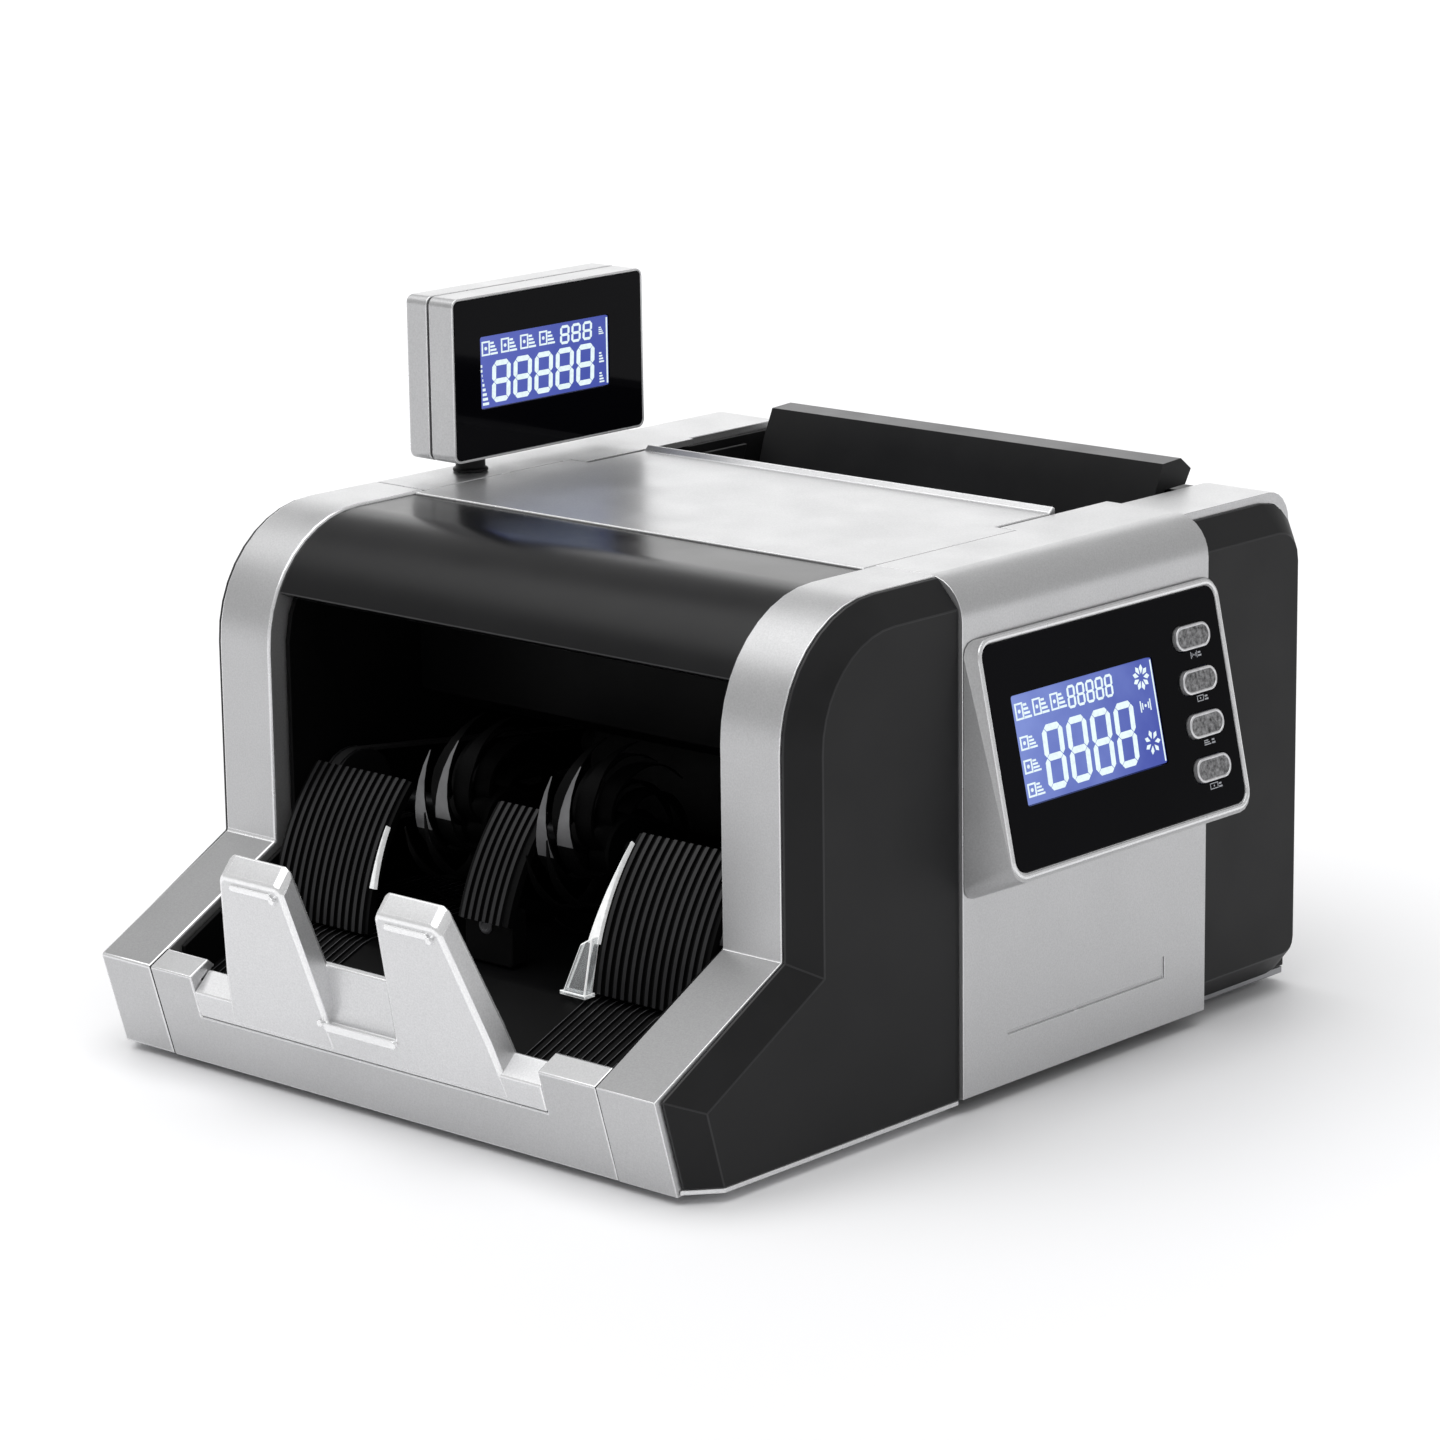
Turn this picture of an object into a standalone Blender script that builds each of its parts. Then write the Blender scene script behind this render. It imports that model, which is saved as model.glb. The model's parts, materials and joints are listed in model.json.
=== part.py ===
"""Banknote counter with a side control panel and a swivelling customer display.

Lengths below are in millimetres, in the machine's own frame: x = 0 on the middle of the note path,
the stacker opening faces -Y, the control panel is on +X, and z = 0 is the underside of the base pan.
The empty "machine" carries that frame to the part's origin, the bottom centre of the whole object,
and every piece is parented to it.
"""

import math

import bmesh
import bpy
from mathutils import Matrix, Vector

MM = 0.001
GAP = 0.3  # clearance between neighbouring pieces

# Driving dimensions
HEIGHT = 178.0  # top deck above the underside of the base pan
DEPTH = 331.5  # stacker bar to rear cover
RAIL_INNER_X, RAIL_OUTER_X = 104.9, 130.0
PANEL_FACE_X = 139.6  # outer face of the black side panels
SIDE_CHAMFER = 9.4  # width of the chamfer round the side panels
PANEL_SET_BACK = 2.0  # from the bar's leaning face back to the side panels
SADDLE_X = 141.0  # outer face of the silver centre shell
SADDLE_FRONT_Y, SADDLE_REAR_Y = 137.2, 269.3
WALL = 2.4  # moulded wall thickness
FOOT_HEIGHT = 3.0
BASE_THICK = 2.4
BAR_FOOT_Y, BAR_TOP_Z = 9.8, 33.5  # the bar's face leans from (9.8, 0) to (0, 33.5)
SLOPE_END_Y, SLOPE_END_Z = 60.0, 65.3  # where the rails' slope meets their upright face
HOOD_RADIUS = 45.0
POCKET_HALF = 101.3  # clear half width between the frame plates
PLATE_INNER_X, PLATE_OUTER_X = 101.6, 103.6
PLATE_TOP_Z = 171.5
FINGER_TOP_Z = 77.5
PLATE_CENTRE_X = -2.5  # the stacker plate sits a little left of centre

IMPELLER_AXIS = (90.0, 80.0)  # y, z of each shaft
DRIVE_AXIS = (215.0, 72.0)
PICKUP_AXIS = (246.0, 115.0)
SEPARATION_AXIS = (252.0, 72.0)
MOTOR_AXIS = (165.0, 26.0)
IMPELLER_RADIUS = 36.0
SHAFT_RADIUS = 4.0
STACKER_PULLEY_RADIUS, STACKER_DRIVE_RADIUS = 13.0, 6.5  # the stacker turns at half the drive's speed
MOTOR_PULLEY_RADIUS, DRIVE_PULLEY_RADIUS = 7.0, 16.0

LID_HINGE = (134.0, 177.0)  # y, z
LID_REAR_Y = 243.4
FLAP_PIVOT = (281.0, 104.0)  # y, z
HOPPER_HALF = 98.7

PANEL_TILT = math.radians(12.04)
PANEL_ORIGIN = (143.9, 0.0, 150.0)
PANEL_GLASS_Y = (143.6, 269.0)
PANEL_GLASS_W = (-70.6, 5.4)
PANEL_LCD_Y = (154.6, 230.0)
PANEL_LCD_W = (-49.8, -13.2)
BUTTON_Y = 252.2
BUTTON_W = (-10.4, -25.5, -40.6, -55.8)
BUTTON_HALF_LENGTH, BUTTON_HALF_HEIGHT = 9.4, 4.2

INLET_X, INLET_Z = -62.0, 42.0
SWITCH_X, SWITCH_Z, SWITCH_PIVOT_Y = -96.0, 42.0, 326.0

DISPLAY_AXIS = (-117.3, 172.5)  # x, y
DISPLAY_X = (-129.2, -118.3, -117.1, -105.4)  # back shell, groove, front shell
DISPLAY_RIM = 1.0
DISPLAY_Y = (153.2, 251.8)
DISPLAY_Z = (184.2, 243.4)
DISPLAY_LCD_Y = (167.0, 233.6)
DISPLAY_LCD_Z = (202.2, 228.4)

# The object's outermost points
LEFT_EDGE = -SADDLE_X
RIGHT_EDGE = PANEL_ORIGIN[0] + 73.6 * math.sin(PANEL_TILT)  # the bezel's lower edge
FRONT_EDGE = BAR_FOOT_Y * (1 - FINGER_TOP_Z / BAR_TOP_Z)  # the fingers' tips
REAR_EDGE = DEPTH + 1.5  # the rear side panels


def arc(cx, cy, radius, start, end, steps):
    """Points along an arc; the angles are in degrees."""
    angles = [math.radians(start + (end - start) * i / steps) for i in range(steps + 1)]
    return [(cx + radius * math.cos(a), cy + radius * math.sin(a)) for a in angles]


def rounded_rect(low, high, radius, steps=4):
    """Counter-clockwise outline between two corners."""
    (x0, y0), (x1, y1) = low, high
    corners = ((x1, y0, -90), (x1, y1, 0), (x0, y1, 90), (x0, y0, 180))
    points = []
    for x, y, start in corners:
        cx = x - radius if x == x1 else x + radius
        cy = y - radius if y == y1 else y + radius
        points += arc(cx, cy, radius, start, start + 90, steps)
    return points


def offset(outline, distance):
    """The outline moved inwards by a distance, with mitred corners. The outline runs counter-clockwise."""
    count = len(outline)
    area = sum(
        outline[i][0] * outline[(i + 1) % count][1] - outline[(i + 1) % count][0] * outline[i][1]
        for i in range(count)
    )
    side = 1.0 if area > 0 else -1.0
    moved = []
    for i, point in enumerate(outline):
        before = Vector(outline[i - 1])
        here = Vector(point)
        after = Vector(outline[(i + 1) % count])
        first = (here - before).normalized()
        second = (after - here).normalized()
        normal_a = Vector((-first.y, first.x)) * side
        normal_b = Vector((-second.y, second.x)) * side
        middle = (normal_a + normal_b).normalized()
        moved.append(tuple(here + middle * distance / max(middle.dot(normal_a), 0.2)))
    return moved


def placed(axis, pair, depth):
    a, b = pair
    return {"X": (depth, a, b), "Y": (a, depth, b), "Z": (a, b, depth)}[axis]


def prism(outline, axis, low, high):
    """A flat outline extruded along an axis. X takes (y, z) pairs, Y takes (x, z) and Z takes (x, y)."""
    bm = bmesh.new()
    face = bm.faces.new([bm.verts.new(placed(axis, pair, low)) for pair in outline])
    extruded = bmesh.ops.extrude_face_region(bm, geom=[face])["geom"]
    verts = [item for item in extruded if isinstance(item, bmesh.types.BMVert)]
    bmesh.ops.translate(bm, vec=placed(axis, (0, 0), high - low), verts=verts)
    bmesh.ops.recalc_face_normals(bm, faces=bm.faces)
    return bm


def box(low, high):
    bm = bmesh.new()
    size = [b - a for a, b in zip(low, high)]
    centre = [(a + b) / 2 for a, b in zip(low, high)]
    matrix = Matrix.Translation(centre) @ Matrix.Diagonal((*size, 1.0))
    bmesh.ops.create_cube(bm, size=1.0, matrix=matrix)
    return bm


def cylinder(centre, radius, low, high, axis="X", segments=24, end_radius=None):
    """A cylinder or cone along an axis; centre holds its two other coordinates."""
    bm = bmesh.new()
    turn = {"X": Matrix.Rotation(math.pi / 2, 4, "Y"), "Y": Matrix.Rotation(-math.pi / 2, 4, "X")}
    place = Matrix.Translation(placed(axis, centre, (low + high) / 2)) @ turn.get(axis, Matrix())
    bmesh.ops.create_cone(
        bm,
        cap_ends=True,
        segments=segments,
        radius1=radius,
        radius2=radius if end_radius is None else end_radius,
        depth=high - low,
        matrix=place,
    )
    return bm


def turned(profile, centre, segments=24):
    """A piece turned about an X axis through centre (y, z), from (x, radius) points end to end."""
    bm = bmesh.new()
    points = [(profile[0][0], 0.0)] + list(profile) + [(profile[-1][0], 0.0)]
    verts = [bm.verts.new((x, centre[0] + r, centre[1])) for x, r in points]
    edges = [bm.edges.new(pair) for pair in zip(verts, verts[1:])]
    bmesh.ops.spin(
        bm,
        geom=verts + edges,
        cent=(0, centre[0], centre[1]),
        axis=(1, 0, 0),
        angle=2 * math.pi,
        steps=segments,
        use_merge=True,
    )
    bmesh.ops.remove_doubles(bm, verts=bm.verts, dist=1e-4)
    bmesh.ops.recalc_face_normals(bm, faces=bm.faces)
    return bm


def mirrored(bm):
    """The same shape on the other side of x = 0."""
    bmesh.ops.scale(bm, vec=(-1, 1, 1), verts=bm.verts)
    bmesh.ops.reverse_faces(bm, faces=bm.faces)
    return bm


def trim(bm, point, normal):
    """Removes what lies beyond a plane and closes the cut."""
    geometry = bm.verts[:] + bm.edges[:] + bm.faces[:]
    bmesh.ops.bisect_plane(bm, geom=geometry, plane_co=point, plane_no=normal, clear_outer=True)
    bmesh.ops.holes_fill(bm, edges=[edge for edge in bm.edges if edge.is_boundary])
    bmesh.ops.recalc_face_normals(bm, faces=bm.faces)
    return bm


def raised(bm, axis_index, chamfer, rise):
    """Insets the face that lies furthest out along an axis and lifts it, for a wide chamfer all round."""
    top = max(bm.faces, key=lambda face: face.calc_center_median()[axis_index])
    bmesh.ops.inset_region(bm, faces=[top], thickness=chamfer, depth=rise, use_even_offset=True)
    return bm


def make_material(name, colour, roughness, metallic=0.0):
    material = bpy.data.materials.new(name)
    material.use_nodes = True
    shader = material.node_tree.nodes["Principled BSDF"]
    shader.inputs["Base Color"].default_value = (*colour, 1.0)
    shader.inputs["Roughness"].default_value = roughness
    shader.inputs["Metallic"].default_value = metallic
    return material


for leftover in list(bpy.data.objects):
    bpy.data.objects.remove(leftover)

parts = bpy.data.collections.new("banknote_counter")
cutters = bpy.data.collections.new("cutters")
for collection in (parts, cutters):
    bpy.context.scene.collection.children.link(collection)

SILVER = make_material("silver_paint", (0.62, 0.63, 0.64), 0.35, 0.6)
BLACK = make_material("black_plastic", (0.02, 0.02, 0.022), 0.45)
GLOSS = make_material("gloss_black_glass", (0.005, 0.005, 0.006), 0.05)
LCD = make_material("lcd_blue", (0.08, 0.16, 0.55), 0.3)
RUBBER = make_material("rubber", (0.03, 0.03, 0.03), 0.8)
STEEL = make_material("steel", (0.55, 0.56, 0.58), 0.3, 1.0)
BOARD = make_material("board_green", (0.03, 0.2, 0.08), 0.5)
CLEAR = make_material("clear_plastic", (0.8, 0.85, 0.9), 0.1)


def make_empty(name, location, parent=None, rotation=(0, 0, 0)):
    empty = bpy.data.objects.new(name, None)
    parts.objects.link(empty)
    empty.parent = parent
    empty.location = Vector(location) * MM
    empty.rotation_euler = rotation
    return empty


machine = make_empty(
    "machine", (-(LEFT_EDGE + RIGHT_EDGE) / 2, -(FRONT_EDGE + REAR_EDGE) / 2, FOOT_HEIGHT)
)


def make_part(name, bm, material, origin=(0, 0, 0), parent=None, collection=None, smooth=True):
    """Links a mesh given in its parent's millimetres; origin is where the object's own origin goes."""
    bmesh.ops.translate(bm, vec=[-value for value in origin], verts=bm.verts)
    bmesh.ops.scale(bm, vec=(MM, MM, MM), verts=bm.verts)
    mesh = bpy.data.meshes.new(name)
    bm.to_mesh(mesh)
    bm.free()
    if smooth:
        mesh.shade_smooth()
        mesh.set_sharp_from_angle(angle=math.radians(35))
    obj = bpy.data.objects.new(name, mesh)
    (collection or parts).objects.link(obj)
    obj.parent = parent or machine
    obj.location = Vector(origin) * MM
    if material:
        mesh.materials.append(material)
    return obj


def make_cutter(name, bm, parent=None):
    obj = make_part(name, bm, None, parent=parent, collection=cutters, smooth=False)
    obj.hide_render = True
    obj.display_type = "WIRE"
    return obj


def combine(obj, bm, operation, parent=None):
    """Adds a Boolean with a helper made from bm."""
    modifier = obj.modifiers.new(operation.lower(), "BOOLEAN")
    modifier.operation = operation
    modifier.object = make_cutter(f"{obj.name}_{operation.lower()}_{len(obj.modifiers)}", bm, parent)
    return obj


def cut(obj, bm, parent=None):
    return combine(obj, bm, "DIFFERENCE", parent)


def add(obj, bm, parent=None):
    return combine(obj, bm, "UNION", parent)


def both_sides(name, build, material):
    """Makes NAME_right from build() and NAME_left as its mirror image."""
    make_part(f"{name}_right", build(), material)
    make_part(f"{name}_left", mirrored(build()), material)


# ---------------------------------------------------------------- outer casing


def side_outline(inset=0.0):
    """The machine's side view ahead of the centre shell, in (y, z)."""
    points = [(BAR_FOOT_Y, 0.0), (SADDLE_FRONT_Y - GAP, 0.0), (SADDLE_FRONT_Y - GAP, HEIGHT)]
    points += arc(SLOPE_END_Y + HOOD_RADIUS, HEIGHT - HOOD_RADIUS, HOOD_RADIUS, 90, 180, 10)
    points += [(SLOPE_END_Y, SLOPE_END_Z), (0.0, BAR_TOP_Z)]
    return offset(points, inset) if inset else points


def base_pan():
    wide, narrow = RAIL_OUTER_X - 0.4, PLATE_OUTER_X + 1
    front, step, rear = 15.0, SADDLE_FRONT_Y, DEPTH - 0.5
    outline = [(-narrow, front), (narrow, front), (narrow, step), (wide, step), (wide, rear)]
    outline += [(-wide, rear), (-wide, step), (-narrow, step)]
    make_part("base_pan", prism(outline, "Z", 0.0, BASE_THICK), STEEL)


def feet():
    for end, y in (("front", 30), ("rear", 300)):
        for side, x in (("left", -112), ("right", 112)):
            foot = cylinder((x, y), 8.5, -FOOT_HEIGHT, -GAP, "Z", 20, 10.0)
            make_part(f"foot_{end}_{side}", foot, RUBBER)


def rails():
    for side in ("right", "left"):
        body = prism(side_outline(), "X", RAIL_INNER_X, RAIL_OUTER_X)
        hollow = prism(side_outline(3.0), "X", RAIL_INNER_X + 2.5, RAIL_OUTER_X + 1)
        if side == "left":
            body, hollow = mirrored(body), mirrored(hollow)
        cut(make_part(f"rail_{side}", body, SILVER), hollow)


def side_panels_front():
    def build():
        reach = 12.0
        outline = side_outline(0.5)
        low = min(z for _, z in outline)
        back = max(y for y, _ in outline)
        stretched = []
        for y, z in outline:
            below = reach if z < low + 1 else 0
            if y > back - 1:
                y += reach
            elif y < 2 * BAR_FOOT_Y:
                y += PANEL_SET_BACK + below * BAR_FOOT_Y / BAR_TOP_Z
            stretched.append((y, z - below))
        bm = prism(stretched, "X", RAIL_OUTER_X + GAP, RAIL_OUTER_X + 1.0)
        raised(bm, 0, SIDE_CHAMFER, PANEL_FACE_X - RAIL_OUTER_X - 1.0)
        trim(bm, (0, SADDLE_FRONT_Y - GAP, 0), (0, 1, 0))
        return trim(bm, (0, 0, BASE_THICK), (0, 0, -1))

    both_sides("side_panel_front", build, BLACK)


def side_panels_rear():
    def build():
        y0, y1, z0, z1 = SADDLE_REAR_Y - 12, DEPTH + 1.5, BASE_THICK, 174.5
        outline = [(y0, z0)] + arc(y1 - 14, z0 + 14, 14, -90, 0, 4) + arc(y1 - 20, z1 - 20, 20, 0, 90, 5)
        bm = prism(outline + [(y0, z1)], "X", RAIL_OUTER_X + GAP, RAIL_OUTER_X + 1.0)
        raised(bm, 0, SIDE_CHAMFER, PANEL_FACE_X - RAIL_OUTER_X - 1.0)
        return trim(bm, (0, SADDLE_REAR_Y + GAP, 0), (0, -1, 0))

    both_sides("side_panel_rear", build, BLACK)


def front_bar():
    outline = [(BAR_FOOT_Y, 0), (15.0, 0), (5.6, 31.6), (11.6, 35.2), (8.6, 38.0), (0, BAR_TOP_Z)]
    half = RAIL_INNER_X - GAP
    bar = make_part("front_bar", prism(outline, "X", -half, half), SILVER)
    low, high = PLATE_CENTRE_X - 81.8, PLATE_CENTRE_X + 81.8
    cut(bar, box((low, -5, 18.7), (high, 30, 60)))


def leaning(x, z, depth=0.0):
    """A point on the bar's leaning face, or the given depth behind it."""
    return (x, BAR_FOOT_Y * (1 - z / BAR_TOP_Z) + depth, z)


def stacker_plate():
    """The plate in the middle of the bar, with the two fingers that stop the notes and a web between."""
    c = PLATE_CENTRE_X
    low, high = c - 81.5, c + 81.5
    strip = [leaning(0, 19.0)[1:], leaning(0, 28.2)[1:], (8.4, 34.6), (11.4, 32.0), (5.4, 26.0)]
    plate = make_part("stacker_plate", prism(strip + [(9.4, 19.0)], "X", low, high), SILVER)
    for side in (-1, 1):
        add(plate, finger(c, side))
    web = [(3.0, 26.0), (3.4, 29.5), (4.6, 35.5), (3.6, 49.0), (5.8, 49.8), (8.6, 36.0), (6.0, 27.0)]
    add(plate, prism(web, "X", c - 21.0, c + 21.0))
    lip = [leaning(0, z, depth)[1:] for z, depth in ((26.0, 0), (30.4, 0), (30.4, 1.4), (26.0, 1.4))]
    add(plate, prism(lip, "X", c - 16.0, c + 16.0))


def finger(c, side):
    """One finger: a loft from its leaning front face to the taller and wider rear face."""
    across = (14.7, 66.0, 62.2, 51.8, 49.2, 24.0, 21.8)
    front = list(zip(across, (24.0, 24.0, 38.0, 75.5, FINGER_TOP_Z, FINGER_TOP_Z, 75.5)))
    rear = list(zip(across, (31.0, 31.0, 45.0, 82.6, 84.6, 84.6, 82.6)))
    bm = bmesh.new()
    near = [bm.verts.new(leaning(c + side * x, z)) for x, z in front]
    far = [bm.verts.new((c + side * x, 8.3 - 0.33 * (z - 38.0), z)) for x, z in rear]
    bm.faces.new(near)
    bm.faces.new(list(reversed(far)))
    for i in range(len(near)):
        j = (i + 1) % len(near)
        bm.faces.new((near[i], far[i], far[j], near[j]))
    bmesh.ops.recalc_face_normals(bm, faces=bm.faces)
    return bm


def front_hood():
    """The curved black cover above the stacker pocket, flush with the rails."""
    half = RAIL_INNER_X - GAP
    cy, cz = SLOPE_END_Y + HOOD_RADIUS, HEIGHT - HOOD_RADIUS
    outer, inner = HOOD_RADIUS - 0.8, HOOD_RADIUS - 0.8 - WALL
    outline = [(130.9, cz + outer)] + arc(cy, cz, outer, 90, 153.5, 10)
    outline += [(cy - inner + 6.5, cz + 17.5)] + arc(cy, cz, inner, 150, 90, 8) + [(130.9, cz + inner)]
    make_part("front_hood", prism(outline, "X", -half, half), BLACK)


def centre_shell():
    """The silver saddle over both sides, tied across by the ledge that the lid rests on."""

    def side():
        outer = [(SADDLE_X, BASE_THICK + GAP)] + arc(SADDLE_X - 14, HEIGHT - 14, 14, 0, 90, 7)
        inner = arc(SADDLE_X - 14, HEIGHT - 14, 14 - WALL, 90, 0, 7) + [(SADDLE_X - WALL, BASE_THICK + GAP)]
        outline = outer + [(97.0, HEIGHT), (97.0, HEIGHT - WALL)] + inner
        return prism(outline, "Y", SADDLE_FRONT_Y, SADDLE_REAR_Y)

    shell = make_part("centre_shell", side(), SILVER)
    add(shell, mirrored(side()))
    ledge_low, ledge_high = HEIGHT - 5.4, HEIGHT - WALL - GAP
    add(shell, box((-112, 224, ledge_low), (112, 242, ledge_high)))
    for sign in (-1, 1):
        xs = sorted((sign * 99.0, sign * 112.0))
        add(shell, box((xs[0], 224, ledge_low), (xs[1], 242, HEIGHT - 1.0)))
    cut(shell, box((-104.3, 130, HEIGHT - WALL - 0.1), (104.3, 211.0, HEIGHT + 1)))
    groove_z = (19.6, 20.9)
    cut(shell, box((SADDLE_X - 0.8, 160.6, groove_z[0]), (SADDLE_X + 1, 246.2, groove_z[1])))
    cut(shell, box((SADDLE_X - 0.8, 244.9, groove_z[0]), (SADDLE_X + 1, 246.2, 27.4)))


def top_lid():
    """The hinged lid over the note path, with a raised lip along its rear edge."""
    wide, narrow, step = RAIL_INNER_X - 0.9, 94.9, 210.7
    front, rear = 131.6, LID_REAR_Y
    outline = [(-wide, front), (wide, front), (wide, step), (narrow, step), (narrow, rear)]
    outline += [(-narrow, rear), (-narrow, step), (-wide, step)]
    origin = (0, *LID_HINGE)
    lid = make_part("top_lid", prism(outline, "Z", HEIGHT - WALL, HEIGHT), SILVER, origin)
    steps = ((-3.4, -1.0), (0, -1.0), (0, 1.4), (-1.2, 2.0), (-3.4, 0))
    lip = [(rear + back, HEIGHT + rise) for back, rise in steps]
    add(lid, prism(lip, "X", -narrow, narrow))


def top_strips():
    def build():
        cy, cz, radius, thick = 319.0, HEIGHT - 0.6 - 12.0, 12.0, 4.0
        outline = [(SADDLE_REAR_Y + GAP, cz + radius)] + list(reversed(arc(cy, cz, radius, 0, 90, 6)))
        outline += arc(cy, cz, radius - thick, 0, 90, 4) + [(SADDLE_REAR_Y + GAP, cz + radius - thick)]
        return prism(outline, "X", 101.4, RAIL_OUTER_X)

    both_sides("top_strip", build, SILVER)


def rear_cover():
    """The black back, open towards the front, with vents and the inlet and switch openings."""
    wide, narrow, low, shoulder, top = RAIL_OUTER_X - 0.3, 101.1, BASE_THICK + GAP, 163.4, 173.0
    outline = [(-wide, low), (wide, low), (wide, shoulder), (narrow, shoulder), (narrow, top)]
    outline += [(-narrow, top), (-narrow, shoulder), (-wide, shoulder)]
    cover = make_part("rear_cover", prism(outline, "Y", 321.0, DEPTH), BLACK)
    cut(cover, prism(offset(outline, 2.5), "Y", 320.0, DEPTH - 2.5))
    for row in range(5):
        z = 104 + 9.0 * row
        cut(cover, box((-34, 325, z), (34, 335, z + 4.2)))
    cut(cover, box((INLET_X - 13.6, 325, INLET_Z - 10.3), (INLET_X + 13.6, 335, INLET_Z + 10.3)))
    cut(cover, box((SWITCH_X - 9.8, 325, SWITCH_Z - 7.3), (SWITCH_X + 9.8, 335, SWITCH_Z + 7.3)))


def power_inlet():
    """An appliance inlet: a flanged body with a recess and three blade pins."""
    inlet = make_part(
        "power_inlet",
        box((INLET_X - 13.2, 305, INLET_Z - 9.9), (INLET_X + 13.2, DEPTH + GAP + 0.2, INLET_Z + 9.9)),
        BLACK,
    )
    rim = [(-15.4, -12), (15.4, -12), (15.4, 7), (10.4, 12), (-10.4, 12), (-15.4, 7)]
    add(inlet, prism([(INLET_X + x, INLET_Z + z) for x, z in rim], "Y", DEPTH + GAP, DEPTH + 1.4))
    recess = [(-11.8, -7.6), (11.8, -7.6), (11.8, 3), (7.4, 7.6), (-7.4, 7.6), (-11.8, 3)]
    cut(inlet, prism([(INLET_X + x, INLET_Z + z) for x, z in recess], "Y", 313, DEPTH + 3))
    for x, z in ((-7, -2.4), (0, 2.6), (7, -2.4)):
        add(inlet, box((INLET_X + x - 1, 311, INLET_Z + z - 2), (INLET_X + x + 1, 325, INLET_Z + z + 2)))


def power_switch():
    """The rocker, rocking on a hidden pin just inside the rear cover."""
    outline = [(333.0, -5.6), (331.2, 0.0), (331.8, 5.6), (324.0, 4.8), (324.0, -4.8)]
    outline = [(y, SWITCH_Z + z) for y, z in outline]
    bm = prism(outline, "X", SWITCH_X - 9.3, SWITCH_X + 9.3)
    make_part("power_switch", bm, BLACK, (SWITCH_X, SWITCH_PIVOT_Y, SWITCH_Z))


# ---------------------------------------------------------------- note path


def hopper_tray():
    """The bucket that takes the notes: an inclined bed in front, a floor, two ends, and no rear wall."""
    bed = [(243.9, 175.0), (262.0, 96.0)]
    floor = [(300.0, 92.0), (318.0, 150.0), (318.0, 175.0)]
    tray = make_part("hopper_tray", prism(bed + floor, "X", -100.7, 100.7), BLACK)
    inside = [(246.3, 176.0), (264.2, 98.2), (330.0, 98.2), (330.0, 176.0)]
    cut(tray, prism(inside, "X", -HOPPER_HALF, HOPPER_HALF))
    for x in (-30, 30):
        cut(tray, box((x - 10.5, 240, 104.0), (x + 10.5, 270, 131.0)))
    return tray


def hopper_flap():
    """The leaning rear support: a board with a thick rolled top edge and two pivot stubs."""
    front = [(280.4, 101.0), (303.0, 174.0), (308.0, 184.7), (318.4, 185.3), (324.3, 180.8), (321.0, 175.6)]
    rear = [(309.4, 175.2), (307.2, 173.0), (284.8, 101.0)]
    half = 92.0
    origin = (0, *FLAP_PIVOT)
    flap = make_part("hopper_flap", prism(front + rear, "X", -half, half), BLACK, origin)
    add(flap, cylinder(FLAP_PIVOT, 3.2, -half - 5.5, half + 5.5, "X", 16))


def note_guides():
    """Plates that square the notes; both slide inwards together."""

    def build():
        outline = [(250.2, 172.5), (264.6, 109.0), (272.6, 109.0), (296.0, 172.5)]
        return prism(outline, "X", 94.2, 95.8)

    both_sides("note_guide", build, BLACK)


def pocket_floor():
    """The sloping floor under the stack, level below the impellers."""
    top = [(12.0, 24.0), (52.8, 40.7), (126.0, 40.7)]
    outline = top + [(126.0, 38.4), (53.3, 38.4), (12.9, 21.7)]
    make_part("pocket_floor", prism(outline, "X", -POCKET_HALF + GAP, POCKET_HALF - GAP), BLACK)


def guide_section(start):
    """The guides' curved sheet in (y, z), upwards from an angle on its arc."""
    front = arc(136.4, 33.6, 83.6, start, 135.8, 8)
    return front + [(y + 2.6, z - 1.2) for y, z in reversed(front)]


def pocket_guides():
    """Three ribbed walls that the stacked notes lean on, with the impellers in the gaps between them."""
    for name, low, high in (("left", -POCKET_HALF + GAP, -54.0), ("right", 54.0, POCKET_HALF - GAP)):
        make_part(f"pocket_guide_{name}", prism(guide_section(174.0), "X", low, high), BLACK)
    middle = make_part("pocket_guide_middle", prism(guide_section(164.4), "X", -11.5, 11.5), BLACK)
    add(middle, box((-11.0, 58.8, 41.0), (11.0, 66.0, 60.0)))


def frame_plates():
    """The steel cheeks that carry every shaft, between the rails and the note path."""

    def build():
        inset = 2.0
        outline = [(17.5, BASE_THICK + GAP), (318.0, BASE_THICK + GAP), (318.0, PLATE_TOP_Z)]
        cy, cz = SLOPE_END_Y + HOOD_RADIUS, HEIGHT - HOOD_RADIUS
        radius = PLATE_TOP_Z - cz
        outline += arc(cy, cz, radius, 90, 176, 6)
        outline += [(cy - radius, SLOPE_END_Z), (SLOPE_END_Y + 1, SLOPE_END_Z - inset), (13.5, 38.2)]
        return prism(outline, "X", PLATE_INNER_X, PLATE_OUTER_X)

    both_sides("frame_plate", build, STEEL)


def sensor_block():
    """The clear note sensor beside the right guide, leaning back with it."""
    low = 41.6
    bm = prism([(43.4, low), (53.4, low), (53.4, 61.0), (48.5, 58.0)], "Y", 49.0, 53.0)
    for vert in bm.verts:
        vert.co.y += 0.22 * (vert.co.z - low)
    make_part("sensor_block", bm, CLEAR)


def transport_guide():
    top = [(228.0, 43.0), (190.0, 44.0), (150.0, 55.0), (132.0, 62.0)]
    below = [(y, z - 2.0) for y, z in reversed(top)]
    make_part("transport_guide", prism(top + below, "X", -90.0, 90.0), BLACK)


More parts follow.
